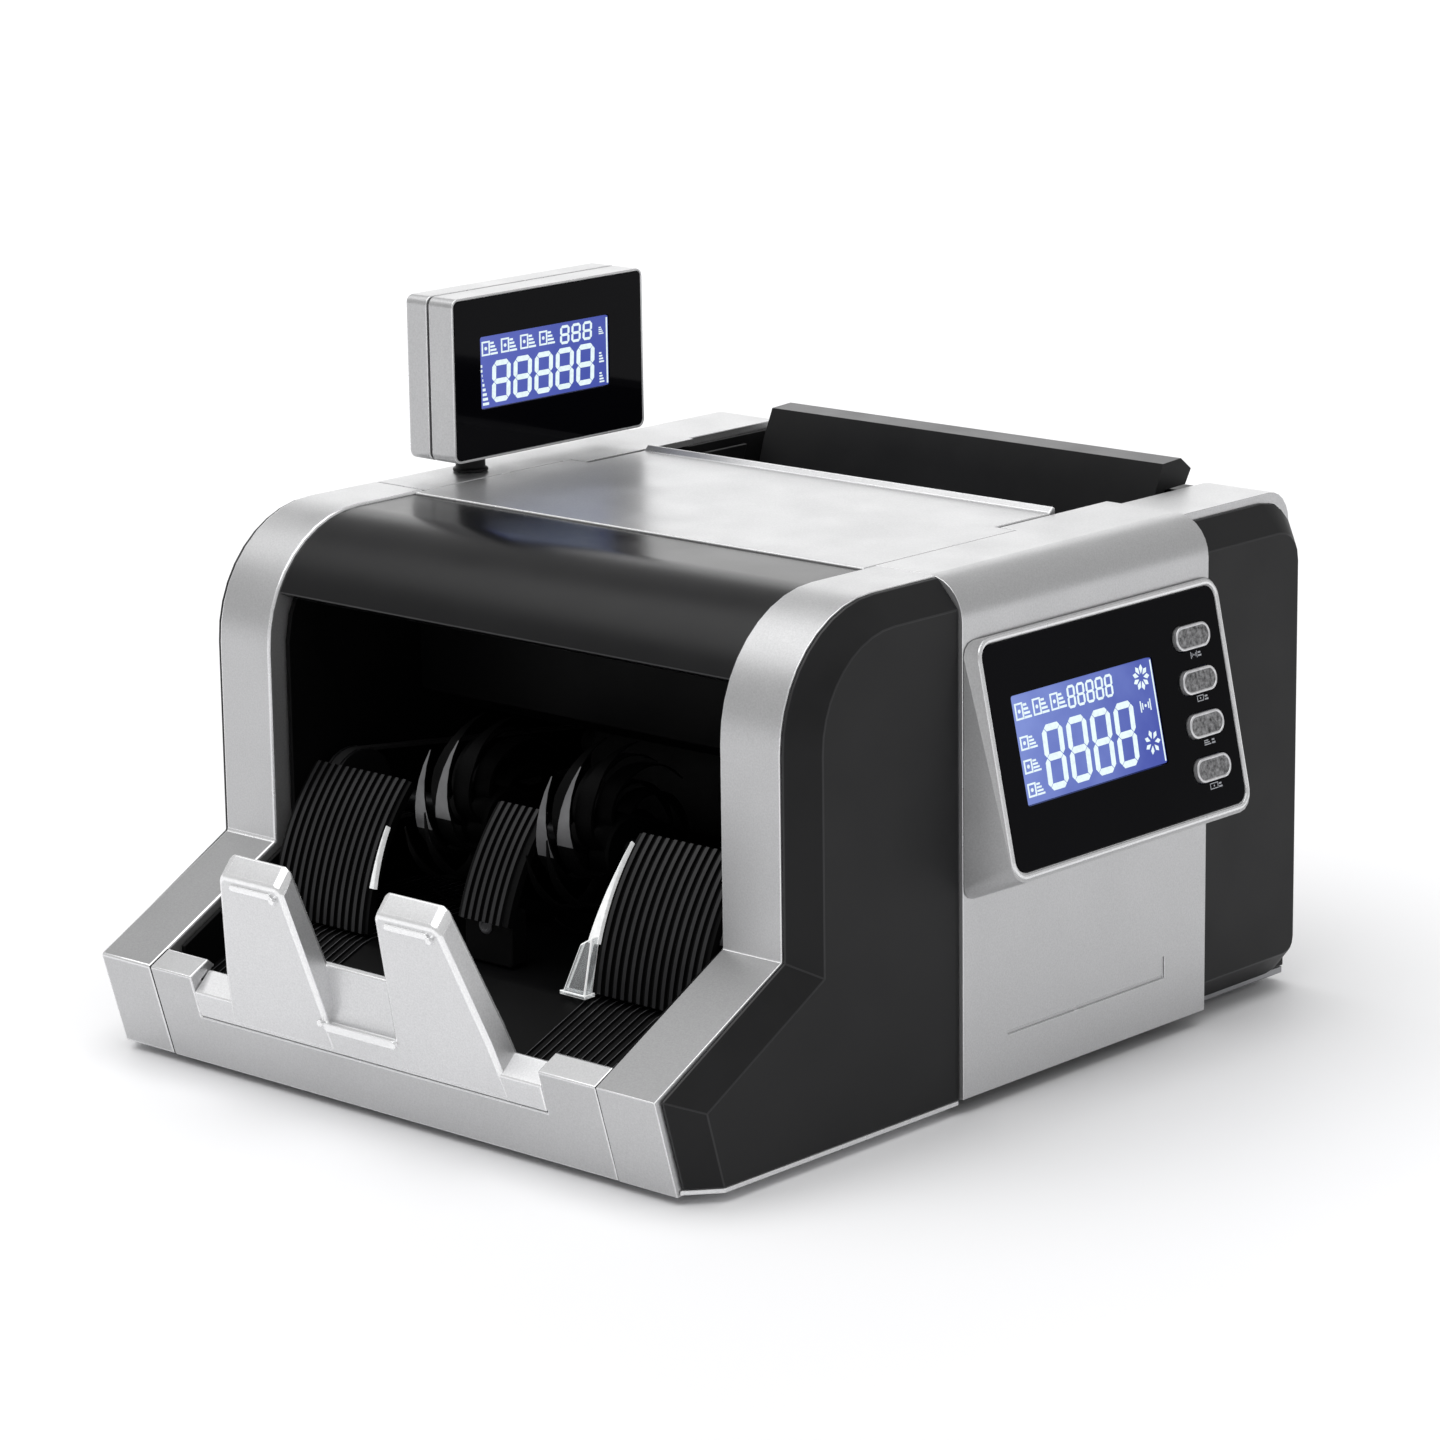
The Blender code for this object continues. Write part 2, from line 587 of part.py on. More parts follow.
def upper_guide():
    """The wall that closes the pocket behind the impellers and turns over the note path."""
    outline = [(129.0, 171.0), (131.4, 171.0), (131.6, 110.0), (140.0, 104.5), (188.0, 103.0)]
    outline += [(188.0, 101.0), (139.0, 102.0), (129.0, 108.0)]
    half = POCKET_HALF - 0.4
    make_part("upper_guide", prism(outline, "X", -half, half), BLACK)


# ---------------------------------------------------------------- drive train


def impeller_outline(radius, fins):
    """A wheel of fins that curl back from its hub, in (y, z) about the shaft."""
    inner = [(11.0, -4.0), (19.2, -17.0), (25.0, -36.0), (29.8, -61.0), (radius - 1.2, -96.0)]
    outer = [(radius, -97.0), (31.6, -60.0), (27.0, -33.0), (20.8, -9.0), (11.0, 5.0)]
    points = []
    for fin in range(fins):
        for r, lead in inner + outer:
            angle = math.radians(360.0 * fin / fins + lead)
            points.append((r * math.cos(angle), r * math.sin(angle)))
    return points


def impellers():
    """Soft finned wheels that carry each note down into the pocket: two wheels on each hub."""
    y, z = IMPELLER_AXIS
    outline = [(y + a, z + b) for a, b in impeller_outline(IMPELLER_RADIUS, 8)]
    for name, middle in (("left", -29.5), ("right", 27.5)):
        hub = cylinder(IMPELLER_AXIS, 12.0, middle - 9, middle + 9, "X", 20)
        wheel = make_part(f"impeller_{name}", hub, RUBBER, (middle, y, z))
        for shift in (-4.2, 4.2):
            add(wheel, prism(outline, "X", middle + shift - 2.8, middle + shift + 2.8))
        cut(wheel, cylinder(IMPELLER_AXIS, SHAFT_RADIUS + GAP, middle - 20, middle + 20, "X", 16))


def stacker_shaft():
    y, z = IMPELLER_AXIS
    half = POCKET_HALF - 0.1
    shaft = cylinder(IMPELLER_AXIS, SHAFT_RADIUS, -half, half, "X", 16)
    make_part("stacker_shaft", shaft, STEEL, (0, y, z))


def pulley(name, axis, radius, low, high, bore):
    """A flanged belt pulley."""
    y, z = axis
    profile = [(low, radius + 1.6), (low + 1, radius + 1.6), (low + 1, radius), (high - 1, radius)]
    profile += [(high - 1, radius + 1.6), (high, radius + 1.6)]
    obj = make_part(name, turned(profile, axis, 24), BLACK, ((low + high) / 2, y, z))
    cut(obj, cylinder(axis, bore, low - 5, high + 5, "X", 16))


def pulleys():
    pulley("stacker_pulley", IMPELLER_AXIS, STACKER_PULLEY_RADIUS, -98.5, -91.5, SHAFT_RADIUS + GAP)
    pulley("drive_pulley", DRIVE_AXIS, DRIVE_PULLEY_RADIUS, 91.5, 98.5, 5.3)
    pulley("motor_pulley", MOTOR_AXIS, MOTOR_PULLEY_RADIUS, 91.5, 98.5, 2.8)


def roller(name, axis, shaft, drums):
    """A shaft with drums, turned as one piece; each drum is (low x, high x, radius)."""
    y, z = axis
    half = POCKET_HALF - 0.1
    profile = [(-half, shaft)]
    for low, high, radius in drums:
        profile += [(low, shaft), (low, radius - 1), (low + 1, radius)]
        profile += [(high - 1, radius), (high, radius - 1), (high, shaft)]
    profile.append((half, shaft))
    make_part(name, turned(profile, axis, 24), RUBBER, (0, y, z))


def rollers():
    belt_seat = (-98.5, -91.5, STACKER_DRIVE_RADIUS)
    roller("drive_roller", DRIVE_AXIS, 5.0, (belt_seat, (-78, -14, 25.0), (14, 78, 25.0)))
    roller("pickup_roller", PICKUP_AXIS, 4.0, ((-39, -21, 16.2), (21, 39, 16.2)))
    roller("separation_roller", SEPARATION_AXIS, 4.0, ((-40, -16, 11.0), (16, 40, 11.0)))


def belt(name, first, first_radius, second, second_radius, low, high):
    """A flat belt round two pulleys, a gap clear of both."""
    thick = 1.2

    def loop(extra):
        (ya, za), (yb, zb) = first, second
        ra, rb = first_radius + extra, second_radius + extra
        heading = math.degrees(math.atan2(zb - za, yb - ya))
        spread = math.degrees(math.acos((ra - rb) / math.hypot(yb - ya, zb - za)))
        points = arc(ya, za, ra, heading + spread, heading + 360 - spread, 14)
        return points + arc(yb, zb, rb, heading - spread, heading + spread, 14)

    ring = make_part(name, prism(loop(GAP + thick), "X", low, high), RUBBER)
    cut(ring, prism(loop(GAP), "X", low - 5, high + 5))


def belts():
    driven = (DRIVE_AXIS, STACKER_DRIVE_RADIUS)
    belt("stacker_belt", IMPELLER_AXIS, STACKER_PULLEY_RADIUS, *driven, -97.0, -93.0)
    driven = (DRIVE_AXIS, DRIVE_PULLEY_RADIUS)
    belt("drive_belt", MOTOR_AXIS, MOTOR_PULLEY_RADIUS, *driven, 93.0, 97.0)


def motor():
    case = cylinder(MOTOR_AXIS, 18.0, 22.0, 84.0, "X", 24)
    body = make_part("motor", case, STEEL)
    add(body, cylinder(MOTOR_AXIS, 6.0, 80.0, 87.0, "X", 16))
    add(body, cylinder(MOTOR_AXIS, 2.5, 84.0, 98.5, "X", 12))


def electronics():
    board = box((108.0, 150.0, 30.0), (109.6, 256.0, 150.0))
    main = make_part("circuit_board", board, BOARD)
    chips = ((165, 60, 185, 80, 3.0), (200, 110, 232, 122, 7.0), (200, 45, 214, 62, 12.0))
    for y0, z0, y1, z1, rise in chips:
        add(main, box((109.0, y0, z0), (109.6 + rise, y1, z1)))
    core = make_part("power_supply", box((-134.0, 160.0, 4.0), (-108.0, 232.0, 58.0)), STEEL)
    add(core, box((-136.5, 176.0, 12.0), (-106.5, 216.0, 50.0)))


# ---------------------------------------------------------------- control panel


def panel_point(u, y, w):
    """Panel coordinates (out of the glass, along y, up the slope) in the machine's frame."""
    x0, _, z0 = PANEL_ORIGIN
    return (
        x0 + u * math.cos(PANEL_TILT) - w * math.sin(PANEL_TILT),
        y,
        z0 + u * math.sin(PANEL_TILT) + w * math.cos(PANEL_TILT),
    )


def panel_prism(low, high, radius, u_low, u_high, steps=4):
    """A rounded rectangle in the plane of the glass, extruded through it."""
    return prism(rounded_rect(low, high, radius, steps), "X", u_low, u_high)


def control_panel():
    frame = make_empty("panel_frame", PANEL_ORIGIN, machine, (0, -PANEL_TILT, 0))
    y0, y1 = PANEL_GLASS_Y
    w0, w1 = PANEL_GLASS_W
    rim, back_x = 2.3, SADDLE_X + GAP

    bm = bmesh.new()
    for y, z in rounded_rect((137.4, 70.5), (y1 + rim, 157.4), 5.0, 3):
        bm.verts.new((back_x, y, z))
    for y, w in rounded_rect((y0 - rim, w0 - 3.0), (y1 + rim, w1 + rim), 7.0, 4):
        bm.verts.new(panel_point(0.0, y, w))
    bmesh.ops.convex_hull(bm, input=bm.verts)
    bezel = make_part("panel_bezel", bm, SILVER)
    cut(bezel, panel_prism((y0, w0), (y1, w1), 5.0, -1.9, 5.0), frame)
    well = [(y0 + 4, w0 + 5), (y1 - 4, w1 - 4)]
    cut(bezel, panel_prism(well[0], well[1], 2.0, -40.0, 0.0, 2), frame)

    window = panel_prism((y0 + GAP, w0 + GAP), (y1 - GAP, w1 - GAP), 4.8, -1.3, 0.2)
    glass = make_part("panel_glass", window, GLOSS, parent=frame)
    ly0, ly1 = PANEL_LCD_Y
    lw0, lw1 = PANEL_LCD_W
    cut(glass, panel_prism((ly0, lw0), (ly1, lw1), 0.8, -5, 5, 2), frame)
    lcd = panel_prism((ly0 + GAP, lw0 + GAP), (ly1 - GAP, lw1 - GAP), 0.6, -3.2, -0.2, 2)
    make_part("panel_lcd", lcd, LCD, parent=frame)
    for number, w in enumerate(BUTTON_W, 1):
        low = (BUTTON_Y - BUTTON_HALF_LENGTH, w - BUTTON_HALF_HEIGHT)
        high = (BUTTON_Y + BUTTON_HALF_LENGTH, w + BUTTON_HALF_HEIGHT)
        slack = GAP + 0.1
        wide_low, wide_high = [v - slack for v in low], [v + slack for v in high]
        cut(glass, panel_prism(wide_low, wide_high, BUTTON_HALF_HEIGHT, -5, 5, 4), frame)
        pill = panel_prism(low, high, BUTTON_HALF_HEIGHT - 0.1, -2.6, 1.5, 4)
        make_part(f"button_{number}", pill, SILVER, (0, BUTTON_Y, w), frame)


# ---------------------------------------------------------------- customer display


def customer_display():
    axis_x, axis_y = DISPLAY_AXIS
    pivot = make_empty("display_axis", (axis_x, axis_y, HEIGHT), machine)
    x0, x1, x2, x3 = (x - axis_x for x in DISPLAY_X)
    y0, y1 = (y - axis_y for y in DISPLAY_Y)
    z0, z1 = (z - HEIGHT for z in DISPLAY_Z)

    def slab(inset, low, high, radius):
        outline = rounded_rect((y0 + inset, z0 + inset), (y1 - inset, z1 - inset), radius, 4)
        return prism(outline, "X", low, high)

    shell = make_part("display_back", slab(0, x0 + 1.5, x1, 3.2), SILVER, parent=pivot)
    add(shell, slab(1.5, x0, x0 + 3.0, 2.6), pivot)
    cut(shell, slab(2.2, x0 + 2.2, x1 + 1, 2.0), pivot)
    front = make_part("display_front", slab(0, x2, x3, 3.2), SILVER, parent=pivot)
    cut(front, slab(DISPLAY_RIM, x3 - 1.8, x3 + 1, 2.4), pivot)
    cut(front, slab(4.0, x2 - 1, x3 + 1, 2.0), pivot)
    window = slab(DISPLAY_RIM + GAP, x3 - 1.5, x3 + 0.1, 2.2)
    glass = make_part("display_glass", window, GLOSS, parent=pivot)
    low = (DISPLAY_LCD_Y[0] - axis_y, DISPLAY_LCD_Z[0] - HEIGHT)
    high = (DISPLAY_LCD_Y[1] - axis_y, DISPLAY_LCD_Z[1] - HEIGHT)
    cut(glass, prism(rounded_rect(low, high, 0.8, 2), "X", x3 - 5, x3 + 5), pivot)
    outline = rounded_rect([v + GAP for v in low], [v - GAP for v in high], 0.6, 2)
    make_part("display_lcd", prism(outline, "X", x3 - 3.4, x3 - 0.2), LCD, parent=pivot)
    stem = cylinder((0, 0), 5.4, GAP, z0 - GAP, "Z", 24)
    make_part("display_neck", stem, BLACK, parent=pivot)


base_pan()
feet()
rails()
side_panels_front()
side_panels_rear()
front_bar()
stacker_plate()
front_hood()
centre_shell()
top_lid()
top_strips()
rear_cover()
power_inlet()
power_switch()
hopper_tray()
hopper_flap()
note_guides()
pocket_floor()
pocket_guides()
frame_plates()
sensor_block()
transport_guide()
upper_guide()
impellers()
stacker_shaft()
pulleys()
rollers()
belts()
motor()
electronics()
control_panel()
customer_display()
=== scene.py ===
"""Looks for the banknote counter, with procedural materials, in a plain studio at three-quarter view.

Every CAD node is shown as a refined copy with softened edges, or as a detailed piece that replaces it.
Lengths passed to the helpers are millimetres in the machine's own frame (x = 0 on the note path's middle,
y = 0 at the stacker bar, z = 0 under the base pan). place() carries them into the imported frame, in metres.
"""

import json
import math

import bmesh
import bpy
from mathutils import Matrix, Vector


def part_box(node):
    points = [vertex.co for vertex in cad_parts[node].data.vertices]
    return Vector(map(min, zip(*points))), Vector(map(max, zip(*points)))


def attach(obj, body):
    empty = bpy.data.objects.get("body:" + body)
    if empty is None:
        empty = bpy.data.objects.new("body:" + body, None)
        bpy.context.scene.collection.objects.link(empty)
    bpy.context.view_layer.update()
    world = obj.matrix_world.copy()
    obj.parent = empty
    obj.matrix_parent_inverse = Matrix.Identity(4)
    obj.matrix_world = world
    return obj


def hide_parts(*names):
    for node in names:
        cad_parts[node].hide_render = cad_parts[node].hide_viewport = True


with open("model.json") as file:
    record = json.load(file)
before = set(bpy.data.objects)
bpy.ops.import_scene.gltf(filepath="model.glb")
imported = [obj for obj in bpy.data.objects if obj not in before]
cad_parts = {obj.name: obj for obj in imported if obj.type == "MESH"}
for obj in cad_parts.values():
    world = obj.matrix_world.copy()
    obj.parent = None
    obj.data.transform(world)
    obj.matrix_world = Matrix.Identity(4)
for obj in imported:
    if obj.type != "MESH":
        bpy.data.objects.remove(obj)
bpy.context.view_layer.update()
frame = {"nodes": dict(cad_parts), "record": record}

MM = 0.001
BODY_OF = {node: body for body, nodes in frame["record"]["behaviour"]["bodies"].items() for node in nodes}
SLOT_OF = {row["node"]: row["material_slot"] for row in frame["record"]["subparts"]}

# Named places of the CAD model that the detailed pieces sit on
BAR_FOOT_Y, BAR_TOP_Z = 9.8, 33.5
PLATE_CENTRE_X = -2.5
FINGER_TOP_Z = 77.5
GUIDE_ARC = (136.4, 33.6, 83.6)  # centre y, z and radius
GUIDE_THICKNESS = (2.6, -1.2)
IMPELLER_AXIS = (90.0, 80.0)
IMPELLER_X = {"impeller_left": -29.5, "impeller_right": 27.5}
PANEL_ORIGIN = (143.9, 0.0, 150.0)
PANEL_TILT = math.radians(12.04)
PANEL_LCD_Y, PANEL_LCD_W = (154.6, 230.0), (-49.8, -13.2)
BUTTON_Y, BUTTON_W = 252.2, (-10.4, -25.5, -40.6, -55.8)
BUTTON_HALF = (9.4, 4.2)
PANEL_GLASS_Y, PANEL_GLASS_W = (143.6, 269.0), (-70.6, 5.4)
DECK_Z = 178.0
DISPLAY_AXIS = (-117.3, 172.5)
DISPLAY_BACK_X, DISPLAY_SEAM_X, DISPLAY_FACE_X = -129.2, -117.7, -105.4
DISPLAY_Y, DISPLAY_Z = (153.2, 251.8), (184.2, 243.4)
DISPLAY_LCD_Y, DISPLAY_LCD_Z = (167.0, 233.6), (202.2, 228.4)
INLET = (-62.0, 42.0)
SWITCH = (-96.0, 42.0)
REAR_FACE_Y = 331.5
RIB_PITCH = 3.5
SEAM_X = 104.75  # middle of the gap between the front bar and each rail
SLOPE_TOP_Z = 64.0


def machine_origin():
    """The machine frame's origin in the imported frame, read from the rails, the front bar and the base pan."""
    left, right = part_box("rail_left")[0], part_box("rail_right")[1]
    return Vector(((left.x + right.x) / 2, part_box("front_bar")[0].y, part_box("base_pan")[0].z))


ORIGIN = machine_origin()


def place(point):
    return ORIGIN + Vector(point) * MM


# ---------------------------------------------------------------- materials


class Shader:
    """A Principled material and short calls that add nodes to it."""

    def __init__(self, name, colour, roughness, metallic=0.0, **constants):
        self.material = bpy.data.materials.new(name)
        self.material.use_nodes = True
        self.tree = self.material.node_tree
        self.bsdf = self.tree.nodes["Principled BSDF"]
        self.colour = colour
        self.roughness = roughness
        self.bsdf.inputs["Base Color"].default_value = (*colour, 1.0)
        self.bsdf.inputs["Roughness"].default_value = roughness
        self.bsdf.inputs["Metallic"].default_value = metallic
        for socket, value in constants.items():
            self.bsdf.inputs[socket.replace("_", " ")].default_value = value
        self.coords = self.tree.nodes.new("ShaderNodeTexCoord").outputs["Object"]

    def link(self, start, end):
        self.tree.links.new(start, end)

    def mapped(self, scale):
        node = self.tree.nodes.new("ShaderNodeMapping")
        node.inputs["Scale"].default_value = scale
        self.link(self.coords, node.inputs["Vector"])
        return node.outputs["Vector"]

    def noise(self, scale, detail=3.0, rough=0.5, stretch=None):
        node = self.tree.nodes.new("ShaderNodeTexNoise")
        node.inputs["Scale"].default_value = scale
        node.inputs["Detail"].default_value = detail
        node.inputs["Roughness"].default_value = rough
        self.link(self.mapped(stretch) if stretch else self.coords, node.inputs["Vector"])
        return node.outputs["Fac"]

    def speckle(self, scale):
        node = self.tree.nodes.new("ShaderNodeTexVoronoi")
        node.inputs["Scale"].default_value = scale
        self.link(self.coords, node.inputs["Vector"])
        return node.outputs["Distance"]

    def ranged(self, value, low, high, start=0.0, end=1.0):
        node = self.tree.nodes.new("ShaderNodeMapRange")
        for name, number in (("From Min", start), ("From Max", end), ("To Min", low), ("To Max", high)):
            node.inputs[name].default_value = number
        self.link(value, node.inputs["Value"])
        return node.outputs["Result"]

    def shade(self, value, darkest, lightest, start=0.3, end=0.7, socket="Base Color"):
        """A colour from darkest to lightest times the material's own, led by a value."""
        factors = (darkest, lightest)
        low, high = ([min(1.0, channel * factor) for channel in self.colour] for factor in factors)
        self.blend(self.ranged(value, 0.0, 1.0, start, end), low, high, socket)

    def blend(self, value, first, second, socket):
        """Sets a socket to a mix of two colours, led by a value from 0 to 1."""
        mix = self.tree.nodes.new("ShaderNodeMix")
        mix.data_type = "RGBA"
        colours = [item for item in mix.inputs if item.type == "RGBA"]
        colours[0].default_value, colours[1].default_value = (*first, 1.0), (*second, 1.0)
        self.link(value, mix.inputs["Factor"])
        result = [output for output in mix.outputs if output.type == "RGBA"][0]
        self.link(result, self.bsdf.inputs[socket])

    def along(self, start, end):
        """A value that runs from 0 at one point to 1 at another."""
        direction = Vector(end) - Vector(start)
        node = self.tree.nodes.new("ShaderNodeVectorMath")
        node.operation = "DOT_PRODUCT"
        node.inputs[1].default_value = direction
        self.link(self.coords, node.inputs[0])
        return self.ranged(node.outputs["Value"], 0.0, 1.0, direction.dot(start), direction.dot(end))

    def gloss(self, value, spread):
        low, high = self.roughness - spread, self.roughness + spread
        self.link(self.ranged(value, low, high, 0.25, 0.75), self.bsdf.inputs["Roughness"])

    def bump(self, value, strength, distance):
        node = self.tree.nodes.new("ShaderNodeBump")
        node.inputs["Strength"].default_value = strength
        node.inputs["Distance"].default_value = distance
        self.link(value, node.inputs["Height"])
        previous = self.bsdf.inputs["Normal"].links
        if previous:
            self.link(previous[0].from_socket, node.inputs["Normal"])
        self.link(node.outputs["Normal"], self.bsdf.inputs["Normal"])


def silver(name, level, roughness):
    """Satin metallic paint over moulded plastic, with fine flake and faint handling marks."""
    s = Shader(name, (level, level * 1.002, level * 1.012), roughness, 0.72)
    s.shade(s.noise(1700, 2.0), 0.92, 1.07)
    s.gloss(s.noise(45, 4.0), 0.05)
    s.bump(s.noise(2600, 2.0), 0.2, 0.00004)
    s.bump(s.noise(9, 2.0), 0.12, 0.0004)
    return s.material


def button_metal(name, level, spread):
    """Die-struck caps: mottled with a coarse embossed pattern."""
    s = Shader(name, (level, level, level * 1.02), 0.34, 0.7)
    s.shade(s.noise(650, 4.0, 0.65), 1 - spread, 1 + spread)
    s.bump(s.noise(650, 4.0, 0.65), 0.6, 0.0003)
    return s.material


def black_plastic(name, level, roughness=0.46, specular=0.22, grain=0.35):
    """Moulded plastic with a fine spark-eroded grain and slight scuffing."""
    s = Shader(name, (level, level, level * 1.06), roughness, 0.0, Specular_IOR_Level=specular)
    s.shade(s.noise(30, 5.0, 0.6), 0.8, 1.25)
    s.gloss(s.noise(60, 4.0), 0.05)
    s.bump(s.noise(3200, 2.0, 0.6), grain, 0.00005)
    return s.material


def hood_black():
    s = Shader("hood_black", (0.006, 0.006, 0.0065), 0.23, 0.0, Specular_IOR_Level=0.2)
    s.shade(s.noise(20, 4.0), 0.9, 1.1)
    s.gloss(s.noise(40, 3.0), 0.03)
    s.bump(s.noise(3000, 2.0), 0.1, 0.00004)
    return s.material


def black_glass():
    """Glossy acrylic window, printed black from behind, with faint finger smears in its gloss."""
    s = Shader("black_glass", (0.002, 0.002, 0.003), 0.06, 0.0, Specular_IOR_Level=0.06)
    s.gloss(s.noise(25, 5.0, 0.65), 0.03)
    s.shade(s.noise(8, 2.0), 0.8, 1.3)
    return s.material


def lit(name, colour, strength, scale, darkest, lightest, base=0.1):
    """A glowing surface: dark in itself, with a slightly uneven light."""
    s = Shader(name, colour, 0.35, 0.0, Specular_IOR_Level=0.1)
    s.bsdf.inputs["Base Color"].default_value = (*(channel * base for channel in colour), 1.0)
    s.shade(s.noise(scale, 2.0), darkest, lightest, socket="Emission Color")
    s.bsdf.inputs["Emission Strength"].default_value = strength
    return s.material


def backlight(name, node, dim, bright):
    """A backlit display that is brightest towards its upper front corner."""
    s = Shader(name, dim, 0.35, 0.0, Specular_IOR_Level=0.1)
    s.bsdf.inputs["Base Color"].default_value = (*(channel * 0.1 for channel in dim), 1.0)
    low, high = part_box(node)
    far, near = Vector((low.x, high.y, low.z)), Vector((low.x, low.y, high.z))
    mottle = s.ranged(s.noise(60, 3.0), -0.15, 0.15, 0.3, 0.7)
    total = s.tree.nodes.new("ShaderNodeMath")
    s.link(s.along(far, near), total.inputs[0])
    s.link(mottle, total.inputs[1])
    s.blend(total.outputs["Value"], dim, bright, "Emission Color")
    s.bsdf.inputs["Emission Strength"].default_value = 1.0
    return s.material


def rubber(name, level, roughness=0.7, specular=0.3):
    s = Shader(name, (level, level, level * 1.03), roughness, 0.0, Specular_IOR_Level=specular)
    s.shade(s.noise(120, 4.0), 0.8, 1.25)
    s.bump(s.noise(1500, 3.0), 0.35, 0.0001)
    return s.material


def metal(name, level, roughness):
    s = Shader(name, (level, level * 1.01, level * 1.04), roughness, 1.0)
    s.shade(s.noise(14, 4.0, 0.6), 0.85, 1.12)
    s.gloss(s.noise(30, 3.0, 0.5, (1, 40, 1)), 0.06)
    return s.material


def board_green():
    s = Shader("board_green", (0.02, 0.15, 0.06), 0.4)
    s.shade(s.speckle(260), 0.7, 1.4, 0.1, 0.9)
    s.bump(s.speckle(260), 0.2, 0.0002)
    return s.material


def clear_plastic():
    s = Shader("clear_plastic", (0.9, 0.92, 0.93), 0.1, 0.0, IOR=1.49, Transmission_Weight=0.8)
    s.gloss(s.noise(60, 3.0), 0.04)
    s.shade(s.noise(200, 3.0), 0.9, 1.05)
    return s.material


def clear_edge_painted_glow():
    """The ground edges of clear mouldings, near white and with a faint glow of their own: a painted highlight
    and a painted glow.
    """
    s = Shader("clear_edge_painted_glow", (0.93, 0.94, 0.94), 0.3, 0.0, Specular_IOR_Level=0.6)
    s.shade(s.noise(500, 3.0), 0.85, 1.05)
    s.link(s.bsdf.inputs["Base Color"].links[0].from_socket, s.bsdf.inputs["Emission Color"])
    s.bsdf.inputs["Emission Strength"].default_value = 0.35
    return s.material


MATERIALS = {
    "silver_paint": silver("silver_paint", 0.53, 0.33),
    # A lighter copy of the silver for rounded edges and thin rims: a painted highlight.
    "silver_edge_painted_highlight": silver("silver_edge_painted_highlight", 0.80, 0.26),
    # The lightest copy of the silver, for the plate's bevels and ridges: a painted highlight.
    "silver_crest_painted_highlight": silver("silver_crest_painted_highlight", 0.93, 0.24),
    "silver_dim": silver("silver_dim", 0.33, 0.36),
    "silver_bright": silver("silver_bright", 0.70, 0.33),
    "button_silver": button_metal("button_silver", 0.2, 0.9),
    "button_rim": button_metal("button_rim", 0.7, 0.15),
    "black_plastic": black_plastic("black_plastic", 0.009, 0.46, 0.2),
    # A lighter copy of the black for rounded edges: a painted highlight.
    "black_edge_painted_highlight": black_plastic("black_edge_painted_highlight", 0.018, 0.36, 0.36),
    "black_nylon": black_plastic("black_nylon", 0.009, 0.4, 0.2, 0.2),
    # Darker copies of the black for the stacker pocket: painted shade of the pocket's interior.
    "pocket_black_painted_shade": black_plastic("pocket_black_painted_shade", 0.003, 0.45, 0.06, 0.2),
    "rib_black_painted_shade": black_plastic("rib_black_painted_shade", 0.003, 0.4, 0.08, 0.2),
    # Lighter copies of the black for rib crests and the sensor eye: painted highlights.
    "rib_crest_painted_highlight": black_plastic("rib_crest_painted_highlight", 0.021, 0.36, 0.25, 0.2),
    "floor_crest_painted_highlight": black_plastic("floor_crest_painted_highlight", 0.08, 0.3, 0.5, 0.2),
    "black_glass": black_glass(),
    "lcd_blue": backlight("lcd_blue", "panel_lcd", (0.06, 0.085, 0.38), (0.22, 0.29, 0.66)),
    "lcd_blue_small": backlight("lcd_blue_small", "display_lcd", (0.055, 0.08, 0.37), (0.11, 0.14, 0.48)),
    "lcd_white": lit("lcd_white", (0.80, 0.93, 0.95), 1.0, 700, 0.9, 1.05),
    # Grey print that also glows faintly: the glow is painted light.
    "print_grey_painted_glow": lit("print_grey_painted_glow", (0.30, 0.31, 0.33), 0.35, 700, 0.8, 1.1, 1.0),
    # A lighter copy of the black for the flap's upward facets: a painted highlight.
    "flap_painted_highlight": black_plastic("flap_painted_highlight", 0.04, 0.38, 0.5),
    "hood_black": hood_black(),
    "rubber": rubber("rubber", 0.02),
    # Rubber darker than the hub rubber elsewhere, for the wheels in the pocket: painted shade; the lighter
    # tips: a painted highlight.
    "fin_rubber_painted_shade": rubber("fin_rubber_painted_shade", 0.0015, 0.5, 0.05),
    "fin_painted_highlight": rubber("fin_painted_highlight", 0.12, 0.3, 0.5),
    "blackened_steel": metal("blackened_steel", 0.04, 0.45),
    "chassis_steel": metal("chassis_steel", 0.33, 0.42),
    "bright_steel": metal("bright_steel", 0.62, 0.22),
    "board_green": board_green(),
    "clear_plastic": clear_plastic(),
    # Near white with a faint glow, for clear edges and strips: a painted highlight and a painted glow.
    "clear_edge_painted_glow": clear_edge_painted_glow(),
}
# Lighter materials that rounded edges take: painted highlights, with a faint painted glow on the edges of clear
# mouldings.
EDGE_OF = {
    "silver_paint": "silver_edge_painted_highlight", "silver_bright": "silver_crest_painted_highlight", "black_plastic": "black_edge_painted_highlight",
    "hood_black": "black_edge_painted_highlight", "clear_plastic": "clear_edge_painted_glow",
}


# ---------------------------------------------------------------- mesh helpers


def arc(cx, cy, radius, start, end, steps):
    """Points along an arc; the angles are in degrees."""
    angles = [math.radians(start + (end - start) * i / steps) for i in range(steps + 1)]
    return [(cx + radius * math.cos(a), cy + radius * math.sin(a)) for a in angles]


def rounded_rect(low, high, radius, steps=5):
    """Counter-clockwise outline between two corners."""
    (x0, y0), (x1, y1) = low, high
    points = []
    for x, y, start in ((x1, y0, -90), (x1, y1, 0), (x0, y1, 90), (x0, y0, 180)):
        cx = x - radius if x == x1 else x + radius
        cy = y - radius if y == y1 else y + radius
        points += arc(cx, cy, radius, start, start + 90, steps)
    return points


